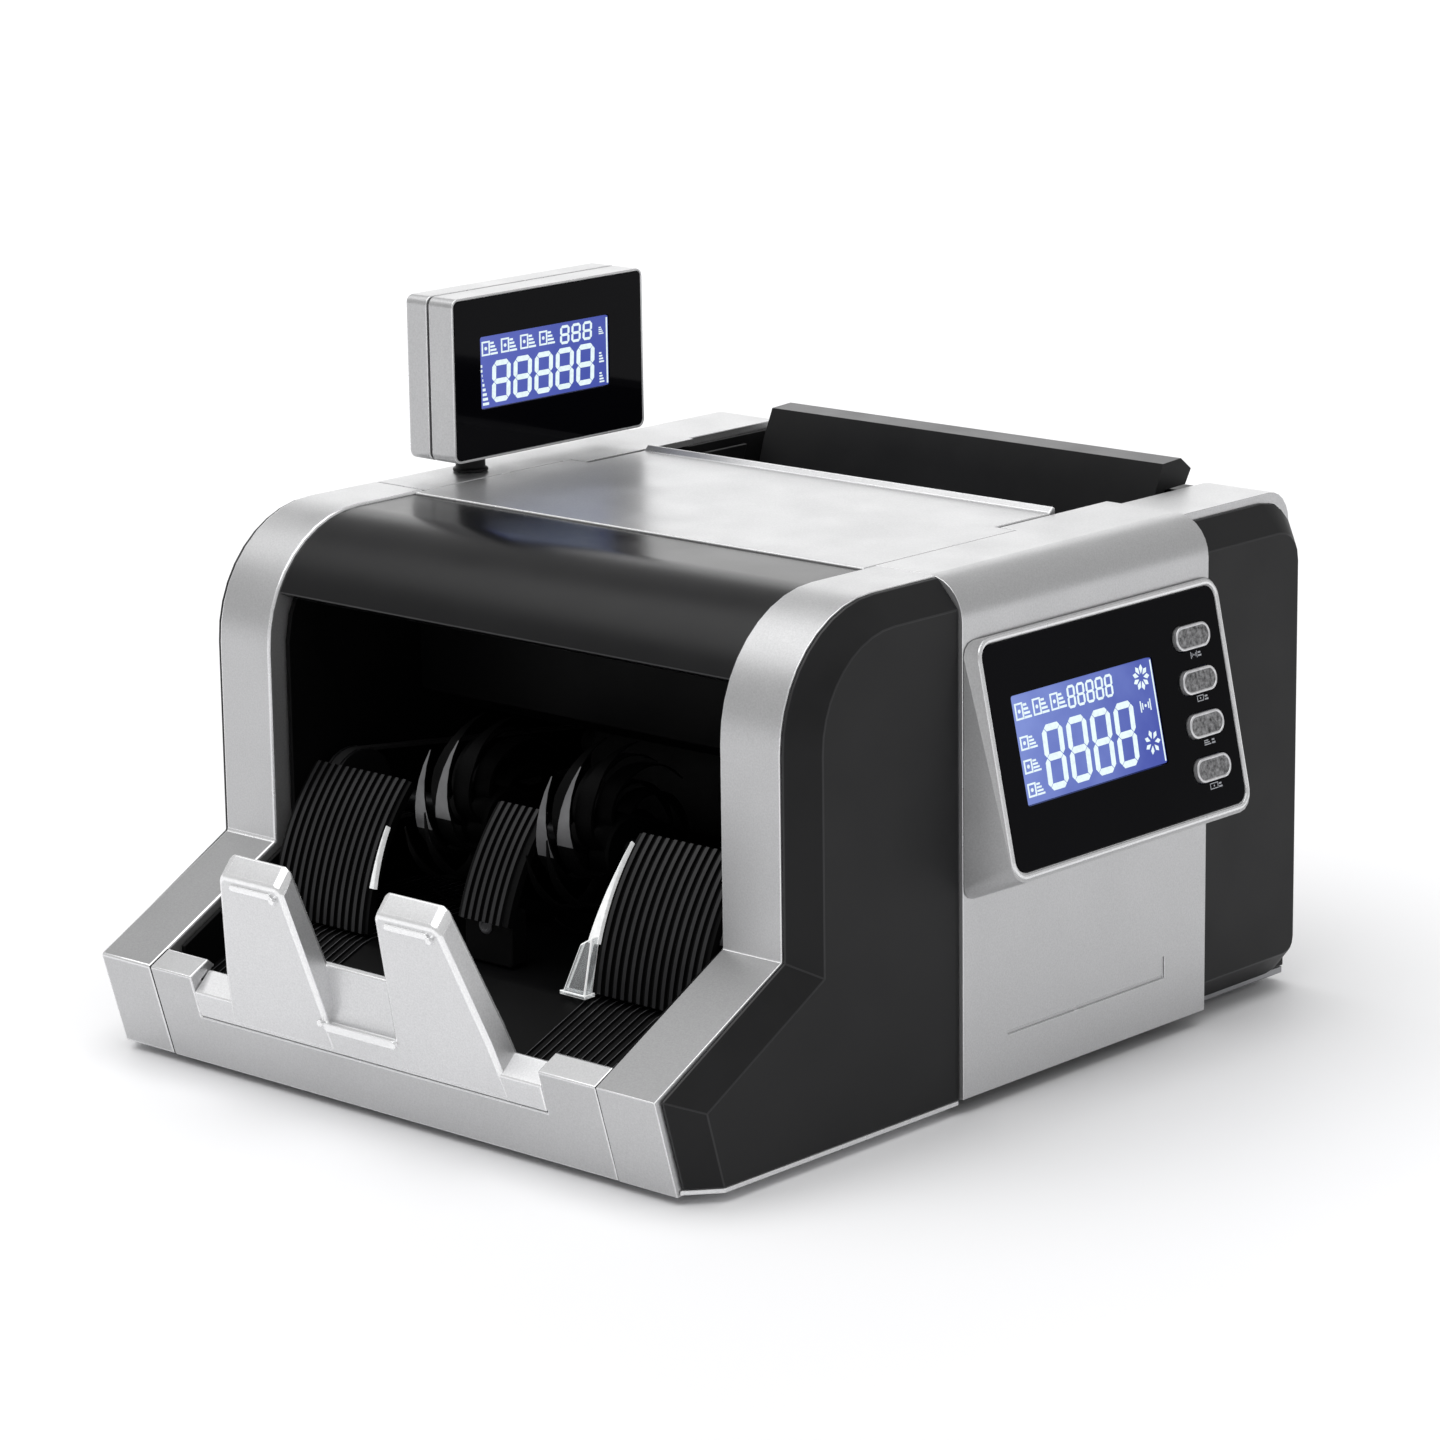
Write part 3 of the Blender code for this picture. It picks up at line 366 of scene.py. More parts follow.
def placed(axis, pair, depth):
    a, b = pair
    return {"X": (depth, a, b), "Y": (a, depth, b), "Z": (a, b, depth)}[axis]


def prisms(outlines, axis, low, high):
    """Flat outlines extruded along an axis, each a closed body."""
    bm = bmesh.new()
    faces = [bm.faces.new([bm.verts.new(placed(axis, pair, low)) for pair in line]) for line in outlines]
    extruded = bmesh.ops.extrude_face_region(bm, geom=faces)["geom"]
    verts = [item for item in extruded if isinstance(item, bmesh.types.BMVert)]
    bmesh.ops.translate(bm, vec=placed(axis, (0, 0), high - low), verts=verts)
    bmesh.ops.recalc_face_normals(bm, faces=bm.faces)
    return bm


def turned(profile, segments=32):
    """A shape turned about the Z axis, from (radius, z) points end to end."""
    bm = bmesh.new()
    points = [(0.0, profile[0][1])] + list(profile) + [(0.0, profile[-1][1])]
    verts = [bm.verts.new((r, 0, z)) for r, z in points]
    edges = [bm.edges.new(pair) for pair in zip(verts, verts[1:])]
    turn = {"cent": (0, 0, 0), "axis": (0, 0, 1), "angle": 2 * math.pi}
    bmesh.ops.spin(bm, geom=verts + edges, steps=segments, use_merge=True, **turn)
    bmesh.ops.remove_doubles(bm, verts=bm.verts, dist=1e-4)
    bmesh.ops.recalc_face_normals(bm, faces=bm.faces)
    return bm


def joined(meshes):
    """Several meshes as one, each still a body of its own."""
    whole = bmesh.new()
    for bm in meshes:
        mesh = bpy.data.meshes.new("part")
        bm.to_mesh(mesh)
        bm.free()
        whole.from_mesh(mesh)
        bpy.data.meshes.remove(mesh)
    return whole


def shell(front, back, crest=None):
    """A closed shell between two grids of points. Faces between two crest columns get the second material."""
    bm = bmesh.new()
    grids = [[[bm.verts.new(point) for point in row] for row in grid] for grid in (front, back)]
    rows, columns = len(front), len(front[0])
    for grid in grids:
        for j in range(rows - 1):
            for i in range(columns - 1):
                face = bm.faces.new((grid[j][i], grid[j][i + 1], grid[j + 1][i + 1], grid[j + 1][i]))
                if grid is grids[0] and crest and crest[i] and crest[i + 1]:
                    face.material_index = 1
    a, b = grids
    for i in range(columns - 1):
        for j in (0, rows - 1):
            bm.faces.new((a[j][i], a[j][i + 1], b[j][i + 1], b[j][i]))
    for j in range(rows - 1):
        for i in (0, columns - 1):
            bm.faces.new((a[j][i], a[j + 1][i], b[j + 1][i], b[j][i]))
    bmesh.ops.recalc_face_normals(bm, faces=bm.faces)
    return bm


def panel_point(u, y, w):
    """Panel coordinates (out of the glass, along y, up the slope) in the machine's frame."""
    x0, _, z0 = PANEL_ORIGIN
    return Vector(
        (
            x0 + u * math.cos(PANEL_TILT) - w * math.sin(PANEL_TILT),
            y,
            z0 + u * math.sin(PANEL_TILT) + w * math.cos(PANEL_TILT),
        )
    )


def on_panel(bm):
    for vert in bm.verts:
        vert.co = panel_point(*vert.co)
    return bm


# ---------------------------------------------------------------- pieces


def soften(obj, width, segments=2, angle=28.0, edge_slot=None):
    """Rounded edges and smooth shading; the rounded edges may take a lighter material of their own, a painted
    highlight.
    """
    if width:
        bevel = obj.modifiers.new("edges", "BEVEL")
        bevel.width = width * MM
        bevel.segments = segments
        bevel.limit_method = "ANGLE"
        bevel.angle_limit = math.radians(angle)
        bevel.use_clamp_overlap = True
        if edge_slot:
            bevel.material = edge_slot
    obj.data.shade_smooth()
    obj.data.set_sharp_from_angle(angle=math.radians(40))
    normals = obj.modifiers.new("normals", "WEIGHTED_NORMAL")
    normals.keep_sharp = True
    normals.weight = 100


def link_piece(name, mesh, body, materials, replaced, width, segments):
    obj = bpy.data.objects.new(name, mesh)
    bpy.context.scene.collection.objects.link(obj)
    for material in materials:
        mesh.materials.append(MATERIALS[material])
    edge = EDGE_OF.get(materials[0])
    if edge and width:
        mesh.materials.append(MATERIALS[edge])
    soften(obj, width, segments, edge_slot=len(mesh.materials) - 1 if edge else None)
    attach(obj, body)
    if replaced:
        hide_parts(*replaced)
    return obj


def piece(name, bm, slot, materials=None, body="chassis", replaced=(), width=0.0, segments=2):
    """A new piece from a mesh in machine millimetres."""
    for vert in bm.verts:
        vert.co = place(vert.co)
    mesh = bpy.data.meshes.new(name)
    bm.to_mesh(mesh)
    bm.free()
    return link_piece(name, mesh, body, materials or [slot], replaced, width, segments)


def refined_mesh(node):
    """A copy of a CAD node's mesh with its flat faces joined up."""
    bm = bmesh.new()
    bm.from_mesh(frame["nodes"][node].data)
    bmesh.ops.remove_doubles(bm, verts=bm.verts, dist=2e-6)
    bmesh.ops.dissolve_limit(bm, angle_limit=math.radians(0.4), verts=bm.verts, edges=bm.edges)
    return bm


def refined(node, width=0.3, segments=2, material=None):
    """A copy of a CAD node with its edges rounded, which replaces it."""
    mesh = bpy.data.meshes.new(f"{node}_shell")
    bm = refined_mesh(node)
    bm.to_mesh(mesh)
    bm.free()
    slot = SLOT_OF[node]
    materials = [material or slot]
    return link_piece(f"{node}_shell", mesh, BODY_OF[node], materials, [node], width, segments)


def comb(first, last, pitch=RIB_PITCH, land=2.1, rise=1.0):
    """Stations across a ribbed surface, as (x, height) pairs; the ribs start at first."""
    stations = [(first - pitch / 2, 0.0)]
    x = first
    while x + land < last:
        stations += [(x, 0.0), (x + 0.3, rise), (x + land - 0.3, rise), (x + land, 0.0)]
        x += pitch
    return stations + [(last, 0.0)]


def ribbed_guide(name, stations, start, end=135.8, steps=28):
    """A curved guide wall whose ribs follow its arc; its darker black is painted shade and its lighter rib
    crests a painted highlight.
    """
    cy, cz, radius = GUIDE_ARC
    dy, dz = GUIDE_THICKNESS
    front, back = [], []
    for (y0, z0), (y1, z1) in zip(
        arc(cy, cz, radius - 0.6, start, end, steps), arc(cy, cz, radius + 0.4, start, end, steps)
    ):
        top = max(height for _, height in stations)
        row = []
        for x, height in stations:
            share = height / top
            row.append((x, y0 + (y1 - y0) * share, z0 + (z1 - z0) * share))
        front.append(row)
        back.append([(x, y0 + dy, z0 + dz) for x, _ in stations])
    bm = shell(front, back, [height > 0 for _, height in stations])
    return piece(name, bm, "black_plastic", ["rib_black_painted_shade", "rib_crest_painted_highlight"], replaced=[name[: -len("_ribbed")]])


def pocket_walls():
    right = comb(55.2, 101.0)
    ribbed_guide("pocket_guide_right_ribbed", right, 174.0)
    left = [(-x, height) for x, height in reversed(right)]
    ribbed_guide("pocket_guide_left_ribbed", left, 174.0)
    ribbed_guide("pocket_guide_middle_ribbed", comb(-10.0, 11.5, 3.3), 164.4)


def middle_block():
    """The block that the middle guide stands on, in a darker black that is painted shade, with a sensor eye in
    its front whose lighter material is a painted highlight.
    """
    outline = rounded_rect((-11.0, 41.0), (11.0, 60.5), 1.6)
    piece("middle_guide_foot", prisms([outline], "Y", 58.8, 66.0), "black_plastic", ["rib_black_painted_shade"], width=0.5)
    eye = turned([(2.9, 0.0), (2.9, 0.5), (2.3, 1.0), (1.6, 1.0), (1.3, 0.5)], 28)
    turn = Matrix.Translation((-1.0, 58.9, 54.0)) @ Matrix.Rotation(math.pi / 2, 4, "X")
    bmesh.ops.transform(eye, matrix=turn, verts=eye.verts)
    piece("middle_guide_eye", eye, "black_plastic", ["floor_crest_painted_highlight"], width=0.12)


def ribbed_floor():
    """The sloping floor, ribbed front to back on both sides of a plain middle; its darker black is painted
    shade and its lighter rib crests a painted highlight.
    """
    right = comb(52.0, 101.0, RIB_PITCH, 0.85, 0.8)
    stations = [(-x, height) for x, height in reversed(right)] + right
    front, back = [], []
    for y, z in ((12.0, 24.0), (32.0, 32.2), (50.5, 39.8), (54.5, 40.7), (90.0, 40.7), (126.0, 40.7)):
        front.append([(x, y, z - 0.5 + height) for x, height in stations])
        back.append([(x, y, z - 2.3) for x, _ in stations])
    bm = shell(front, back, [height > 0 for _, height in stations])
    materials = ["rib_black_painted_shade", "floor_crest_painted_highlight"]
    piece("pocket_floor_ribbed", bm, "black_plastic", materials, replaced=["pocket_floor"])


def clear_strips():
    """Clear light guides along the inner edges of the side guides, tapering upwards, drawn whole in the glowing
    near-white edge material: a painted highlight and a painted glow.
    """
    cy, cz, radius = GUIDE_ARC
    for side, name, foot_width, end in ((1, "right", 4.2, 138.6), (-1, "left", 1.8, 148.0)):
        front, back = [], []
        steps = 14
        outer = arc(cy, cz, radius + 0.9, 163.0, end, steps)
        inner = arc(cy, cz, radius - 0.8, 163.0, end, steps)
        for i in range(steps + 1):
            width = foot_width * (1 - i / steps) ** 1.3 + 0.35
            xs = [side * (53.7 - width * share) for share in (0.0, 0.35, 0.7, 1.0)]
            lift = (0.0, 0.5, 0.4, 0.0)
            front.append([(x, outer[i][0] - rise, outer[i][1] + rise * 0.4) for x, rise in zip(xs, lift)])
            back.append([(x, *inner[i]) for x in xs])
        piece(f"light_strip_{name}", shell(front, back), "clear_plastic", ["clear_edge_painted_glow"])


def flap():
    """The rear note support; its upward facets take a lighter black, a painted highlight."""
    obj = refined("hopper_flap", 1.0, 3)
    obj.data.materials.append(MATERIALS["flap_painted_highlight"])
    for polygon in obj.data.polygons:
        if polygon.normal.z > 0.8:
            polygon.material_index = len(obj.data.materials) - 1


def sensor():
    refined("sensor_block", 0.5, 3)
    foot = [(42.6, 48.6), (54.0, 48.6), (54.0, 53.6), (42.6, 53.6)]
    # The foot's rounded edges take the glowing near-white edge material: a painted highlight.
    piece("sensor_foot", prisms([foot], "Z", 40.9, 42.3), "clear_plastic", width=0.3)


def fin(bm, angle, x, light_tip, steps=16):
    """One soft fin: a strip that curls back from the hub and narrows to a point, which may take a painted
    highlight.
    """
    cy, cz = IMPELLER_AXIS
    rings = []
    for i in range(steps + 1):
        t = i / steps
        r = 10.5 + 25.5 * t
        lead = math.radians(angle - 96.0 * t**1.45)
        half = 3.7 * min(1.0, (1.0 - t) / 0.4 + 0.05)
        thick = 1.5 - 1.0 * t
        radial = Vector((0, math.cos(lead), math.sin(lead)))
        across = Vector((0, -math.sin(lead), math.cos(lead)))
        centre = Vector((x, cy, cz)) + radial * r
        bow = (0.75 * radial + across).normalized() * thick / 2
        corners = (Vector((-half, 0, 0)) - bow, Vector((half, 0, 0)) - bow)
        corners += (Vector((half, 0, 0)) + bow, Vector((-half, 0, 0)) + bow)
        rings.append([bm.verts.new(centre + corner) for corner in corners])
    for i in range(steps):
        for k in range(4):
            after = (k + 1) % 4
            face = bm.faces.new((rings[i][k], rings[i][after], rings[i + 1][after], rings[i + 1][k]))
            if light_tip and k == 2 and i >= steps * 0.62:
                face.material_index = 1
    bm.faces.new(rings[0][::-1])
    bm.faces.new(rings[-1])


def impellers():
    """Each hub carries two wheels of eight fins, the second turned a little from the first.

    Two opposite fins of each wheel have light tips. This is a look, chosen so that one tip in each wheel
    reads as lit at rest; nothing about the fins themselves differs.
    """
    for node, middle in IMPELLER_X.items():
        profile = [(4.3, -9.6), (11.2, -9.6), (12.0, -8.8), (12.0, -1.6), (10.6, -0.8), (10.6, 0.8)]
        profile += [(12.0, 1.6), (12.0, 8.8), (11.2, 9.6), (4.3, 9.6)]
        hub = turned(profile)
        place_hub = Matrix.Translation((middle, *IMPELLER_AXIS)) @ Matrix.Rotation(math.pi / 2, 4, "Y")
        bmesh.ops.transform(hub, matrix=place_hub, verts=hub.verts)
        fins = bmesh.new()
        for shift, phase, light_fin in ((-4.2, 0.4, 1), (4.2, 35.4, 0)):
            for number in range(8):
                fin(fins, phase + 45.0 * number, middle + shift, number % 4 == light_fin)
        bmesh.ops.recalc_face_normals(fins, faces=fins.faces)
        name = f"{node}_finned"
        piece(name, joined([hub, fins]), "rubber", ["fin_rubber_painted_shade", "fin_painted_highlight"], "stacker_rotor", [node])


# ---------------------------------------------------------------- stacker plate trim


def leaning(z, proud=0.0):
    """y on the bar's leaning face at a height, or standing proud of it."""
    return BAR_FOOT_Y * (1 - z / BAR_TOP_Z) - proud


def leaning_bar(x0, x1, z0, z1, proud, depth=1.0):
    """A low rounded bar on the leaning face, as a mesh."""
    bm = prisms([rounded_rect((x0, z0), (x1, z1), min(z1 - z0, x1 - x0) / 2.05, 4)], "Y", -proud, depth)
    for vert in bm.verts:
        vert.co.y += leaning(vert.co.z)
    return bm


def finger(side):
    """One finger: a loft from its leaning front face, just proud of the strip's, to its taller rear face."""
    across = (14.7, 66.0, 62.2, 51.8, 49.2, 24.0, 21.8)
    front = zip(across, (19.2, 19.2, 38.0, 75.5, FINGER_TOP_Z, FINGER_TOP_Z, 75.5))
    rear = zip(across, (26.0, 26.0, 45.0, 82.6, 84.6, 84.6, 82.6))
    bm = bmesh.new()
    near = [bm.verts.new((PLATE_CENTRE_X + side * x, leaning(z, 0.08), z)) for x, z in front]
    far = [bm.verts.new((PLATE_CENTRE_X + side * x, 8.3 - 0.33 * (z - 38.0), z)) for x, z in rear]
    bm.faces.new(near)
    bm.faces.new(far[::-1])
    for i in range(len(near)):
        bm.faces.new((near[i - 1], far[i - 1], far[i], near[i]))
    bmesh.ops.recalc_face_normals(bm, faces=bm.faces)
    return bm


def stacker_plate():
    """The plate in the middle of the bar, its two fingers with broad rounded edges, and the web between."""
    c = PLATE_CENTRE_X
    strip = [(leaning(z), z) for z in (19.0, 28.2)]
    strip += [(8.4, 34.6), (11.4, 32.0), (5.4, 26.0), (9.4, 19.0)]
    web = [(3.0, 26.0), (3.4, 29.5), (4.6, 35.5), (3.6, 49.0), (5.8, 49.8), (8.6, 36.0), (6.0, 27.0)]
    plate = joined([prisms([strip], "X", c - 81.5, c + 81.5), prisms([web], "X", c - 21.0, c + 21.0)])
    # The strip's and the fingers' rounded edges take a lighter silver: a painted highlight.
    looks = ("silver_paint", ["silver_bright"])
    piece("stacker_plate_strip", plate, *looks, replaced=["stacker_plate"], width=0.5)
    piece("stacker_fingers", joined([finger(-1), finger(1)]), *looks, width=1.5, segments=3)


def plate_trim():
    """Moulded ridges along the fingers' tops and small nubs at their corners and feet, drawn in the lightest
    silver: a painted highlight.
    """
    c = PLATE_CENTRE_X
    ridges = []
    for side in (-1, 1):
        x0, x1 = sorted((c + side * 26.5, c + side * 46.5))
        ridges.append(leaning_bar(x0, x1, FINGER_TOP_Z - 4.8, FINGER_TOP_Z - 2.4, 0.8))
        right = x1 + 0.6
        ridges.append(leaning_bar(right - 1.3, right + 1.3, FINGER_TOP_Z - 6.0, FINGER_TOP_Z - 3.4, 1.5))
    ridges.append(leaning_bar(c - 17.0, c + 17.0, 27.2, 30.4, 1.2))
    ridges.append(leaning_bar(c - 19.2, c - 16.6, 28.6, 31.2, 1.7))
    piece("stacker_plate_trim", joined(ridges), "silver_paint", ["silver_crest_painted_highlight"], width=0.25)


def bar_seams():
    """Dark strips that fill the gaps between the front bar and the rails: painted shade standing in for the
    shadow in the seams.
    """
    profile = [(BAR_FOOT_Y + 0.2, 0.4), (14.6, 0.4), (6.0, 31.4), (11.2, 35.2), (8.6, 37.8), (0.2, BAR_TOP_Z)]
    seams = [prisms([profile], "X", side * SEAM_X - 0.45, side * SEAM_X + 0.45) for side in (-1, 1)]
    piece("bar_seams", joined(seams), "black_nylon")


def side_skirts():
    """The casing's silver lower edge, which shows as a thin line under the front side panels, drawn in the
    lighter edge silver: a painted highlight.
    """
    outline = [(130.3, 10.6), (131.0, 12.0), (139.3, 22.0), (139.3, 136.9), (130.3, 136.9)]
    skirts = [prisms([[(side * x, y) for x, y in outline]], "Z", 0.5, 2.2) for side in (-1, 1)]
    piece("side_skirts", joined(skirts), "silver_paint", ["silver_edge_painted_highlight"], width=0.3)


def rails():
    """The rails. Their low slopes take a darker silver, a look that stands in for their dimmer light."""
    for side in ("left", "right"):
        obj = refined(f"rail_{side}", 0.9, 3)
        obj.data.materials.append(MATERIALS["silver_dim"])
        slope_top = place((0, 0, SLOPE_TOP_Z)).z
        for polygon in obj.data.polygons:
            if polygon.center.z < slope_top and polygon.normal.y < -0.2 and polygon.normal.z > 0.5:
                polygon.material_index = len(obj.data.materials) - 1


# ---------------------------------------------------------------- displays and buttons


def figure_eight(x, y, width, height, stroke, lean=0.05):
    """The seven lit bars of a figure 8, as outlines."""
    half, gap = stroke / 2, stroke * 0.1
    xs = (x + half, x + width - half)
    ys = (y + half, y + height / 2, y + height - half)
    ends = [((xs[0], level), (xs[1], level)) for level in ys]
    ends += [((side, ys[i]), (side, ys[i + 1])) for side in xs for i in (0, 1)]
    outlines = []
    for start, end in ends:
        along = (Vector(end) - Vector(start)).normalized()
        across = Vector((-along.y, along.x)) * half
        near, far = Vector(start) + along * gap, Vector(end) - along * gap
        outline = [near, near + along * half + across, far - along * half + across]
        outline += [far, far - along * half - across, near + along * half - across]
        outlines.append([(point.x + lean * (point.y - y), point.y) for point in outline])
    return outlines


def figures(count, x, y, pitch, width, height, stroke):
    return [line for i in range(count) for line in figure_eight(x + pitch * i, y, width, height, stroke)]


def rect(x0, y0, x1, y1):
    return [(x0, y0), (x1, y0), (x1, y1), (x0, y1)]


def frame_icon(x, y, width, height, line=0.45):
    """A small note: an outline with a dot in it."""
    inner = (x + line + 0.05, y + line + 0.05, x + width - line - 0.05, y + height - line - 0.05)
    lines = [rect(x, y, x + width, y + line), rect(x, y + height - line, x + width, y + height)]
    lines += [rect(x, inner[1], x + line, inner[3]), rect(x + width - line, inner[1], x + width, inner[3])]
    size = min(width, height) * 0.16
    return lines + [arc(x + width / 2, y + height / 2, size, 0, 315, 7)]


def bars_icon(x, y, width, height, count=3):
    """A small stack of bars that grow in length."""
    pitch = height / count
    return [
        rect(x, y + pitch * i, x + width * (1 - 0.18 * i), y + pitch * i + pitch * 0.55) for i in range(count)
    ]


def petals_icon(x, y, radius, count=8):
    """A ring of lozenges round an open middle."""
    lines = []
    for i in range(count):
        a = 2 * math.pi * i / count
        along, across = Vector((math.cos(a), math.sin(a))), Vector((-math.sin(a), math.cos(a)))
        centre = Vector((x, y))
        points = [along * radius * 0.3, along * radius * 0.72 + across * radius * 0.2]
        points += [along * radius, along * radius * 0.72 - across * radius * 0.2]
        lines.append([tuple(centre + point) for point in points])
    return lines


def waves_icon(x, y, size):
    """A dot between two pairs of short bars."""
    lines = [arc(x, y, size * 0.16, 0, 315, 7)]
    for side in (-1, 1):
        for step, tall in ((0.42, 0.34), (0.74, 0.6)):
            xs = sorted((x + side * size * step, x + side * size * (step + 0.14)))
            lines.append(rect(xs[0], y - size * tall, xs[1], y + size * tall))
    return lines


def panel_display():
    y0, y1 = PANEL_LCD_Y
    w0, w1 = PANEL_LCD_W
    lines = figures(4, y0 + 12.0, w0 + 2.6, 12.7, 10.6, 21.8, 2.25)
    lines += figures(5, y0 + 28.6, w1 - 9.4, 5.0, 4.1, 7.6, 0.85)
    for i in range(3):
        lines += frame_icon(y0 + 1.4 + 9.2 * i, w1 - 8.4, 4.1, 5.6, 0.6)
        lines += bars_icon(y0 + 5.8 + 9.2 * i, w1 - 8.4, 3.6, 5.6, 4)
    for i in range(3):
        low = w0 + 2.6 + 7.8 * i
        lines += frame_icon(y0 + 1.4, low, 4.2, 4.6, 0.6) + bars_icon(y0 + 6.0, low, 3.8, 4.6, 4)
    lines += petals_icon(y1 - 7.0, w1 - 6.0, 4.4, 9) + waves_icon(y1 - 7.0, w1 - 15.6, 3.2)
    lines += petals_icon(y1 - 6.4, w0 + 8.4, 4.2, 7)
    figures_mesh = on_panel(prisms(lines, "X", -0.28, -0.06))
    piece("panel_figures", figures_mesh, "lcd_blue", ["lcd_white"])
    edge = prisms([rect(y1 - 1.3, w0 + 1.0, y1 - 0.7, w1 - 1.0)], "X", -0.28, -0.08)
    piece("panel_lcd_edge_light", on_panel(edge), "lcd_blue", ["lcd_white"], width=0.04)


def bead(outline, depth, radius, sides=8):
    """A round bead along a closed outline in the panel's plane."""
    bm = bmesh.new()
    rings = []
    for i, point in enumerate(outline):
        before, after = Vector(outline[i - 1]), Vector(outline[(i + 1) % len(outline)])
        along = (after - before).normalized()
        outwards = Vector((along.y, -along.x))
        ring = []
        for k in range(sides):
            a = 2 * math.pi * k / sides
            spot = Vector(point) + outwards * radius * math.cos(a)
            ring.append(bm.verts.new((depth + radius * math.sin(a), spot.x, spot.y)))
        rings.append(ring)
    for i, ring in enumerate(rings):
        last = rings[i - 1]
        for k in range(sides):
            bm.faces.new((last[k - 1], ring[k - 1], ring[k], last[k]))
    bmesh.ops.recalc_face_normals(bm, faces=bm.faces)
    return bm


def panel_rim():
    """The bright rolled rim round the window, drawn in the lighter edge silver: a painted highlight."""
    (y0, y1), (w0, w1), reach = PANEL_GLASS_Y, PANEL_GLASS_W, 1.1
    outline = rounded_rect((y0 - reach, w0 - reach), (y1 + reach, w1 + reach), 6.0, 8)
    piece("panel_rim", on_panel(bead(outline, -0.25, 1.0)), "silver_paint", ["silver_edge_painted_highlight"])


def display_casing():
    """Two silver half shells with a shadow gap between them, a thin-rimmed window and a neck."""
    (y0, y1), (z0, z1), face = DISPLAY_Y, DISPLAY_Z, DISPLAY_FACE_X
    outline = rounded_rect((y0, z0), (y1, z1), 3.2, 6)
    body = "customer_display"
    back = prisms([outline], "X", DISPLAY_BACK_X + 1.0, DISPLAY_SEAM_X - 0.6)
    rear = min(back.faces, key=lambda item: item.calc_center_median().x)
    bmesh.ops.inset_region(back, faces=[rear], thickness=1.0, depth=1.0, use_even_offset=True)
    piece("display_back_casing", back, "silver_paint", None, body, ["display_back"], 0.3, 3)

    front = prisms([outline], "X", DISPLAY_SEAM_X + 0.6, face)
    top = max(front.faces, key=lambda item: item.calc_center_median().x)
    bmesh.ops.inset_region(front, faces=[top], thickness=0.95, use_even_offset=True)
    bmesh.ops.inset_region(front, faces=[top], thickness=0.05, depth=-1.2, use_even_offset=True)
    piece("display_front_casing", front, "silver_paint", None, body, ["display_front"], 0.3, 3)

    inset = 1.1
    window = rounded_rect((y0 + inset, z0 + inset), (y1 - inset, z1 - inset), 2.2, 6)
    hole = rounded_rect((DISPLAY_LCD_Y[0], DISPLAY_LCD_Z[0]), (DISPLAY_LCD_Y[1], DISPLAY_LCD_Z[1]), 0.8, 3)
    glass = carved(prisms([window], "X", face - 1.15, face + 0.1), prisms([hole], "X", face - 5, face + 5))
    piece("display_window", glass, "black_glass", None, body, ["display_glass"], 0.1)

    core = rounded_rect((y0 + 2.2, z0 + 2.2), (y1 - 2.2, z1 - 2.2), 2.0, 4)
    gap_fill = prisms([core], "X", DISPLAY_SEAM_X - 1.6, DISPLAY_SEAM_X + 1.6)
    piece("display_gasket", gap_fill, "black_nylon", None, body)
    neck = turned([(6.4, 0.3), (6.4, 1.2), (5.4, 1.8), (5.4, 6.2)], 40)
    bmesh.ops.translate(neck, vec=(*DISPLAY_AXIS, DECK_Z), verts=neck.verts)
    piece("display_neck_turned", neck, "black_nylon", None, body, ["display_neck"], 0.2)


def display_figures():
    y0, y1 = DISPLAY_LCD_Y
    z0, z1 = DISPLAY_LCD_Z
    lines = figures(5, y0 + 5.4, z0 + 1.8, 10.9, 9.3, 15.0, 1.9)
    lines += figures(3, y0 + 41.0, z1 - 8.0, 5.9, 4.8, 6.8, 0.95)
    for i in range(4):
        lines += frame_icon(y0 + 0.9 + 9.8 * i, z1 - 7.0, 4.1, 5.2, 0.6)
        lines += bars_icon(y0 + 5.3 + 9.8 * i, z1 - 7.0, 3.6, 5.2, 4)
    lines += bars_icon(y0 + 0.9, z0 + 1.4, 3.0, 15.5, 9)
    for low, size in ((1.6, 4.2), (9.0, 4.2), (19.4, 3.0)):
        lines += bars_icon(y1 - 5.2, z0 + low, 2.4, size, 4)
    face = DISPLAY_FACE_X
    args = ("lcd_blue", ["lcd_white"], "customer_display")
    piece("display_figures", prisms(lines, "X", face - 0.28, face - 0.06), *args)
    edge = prisms([rect(y1 - 1.4, z0 + 1.0, y1 - 0.7, z1 - 1.0)], "X", face - 0.28, face - 0.08)
    piece("display_lcd_edge_light", edge, *args, width=0.04)


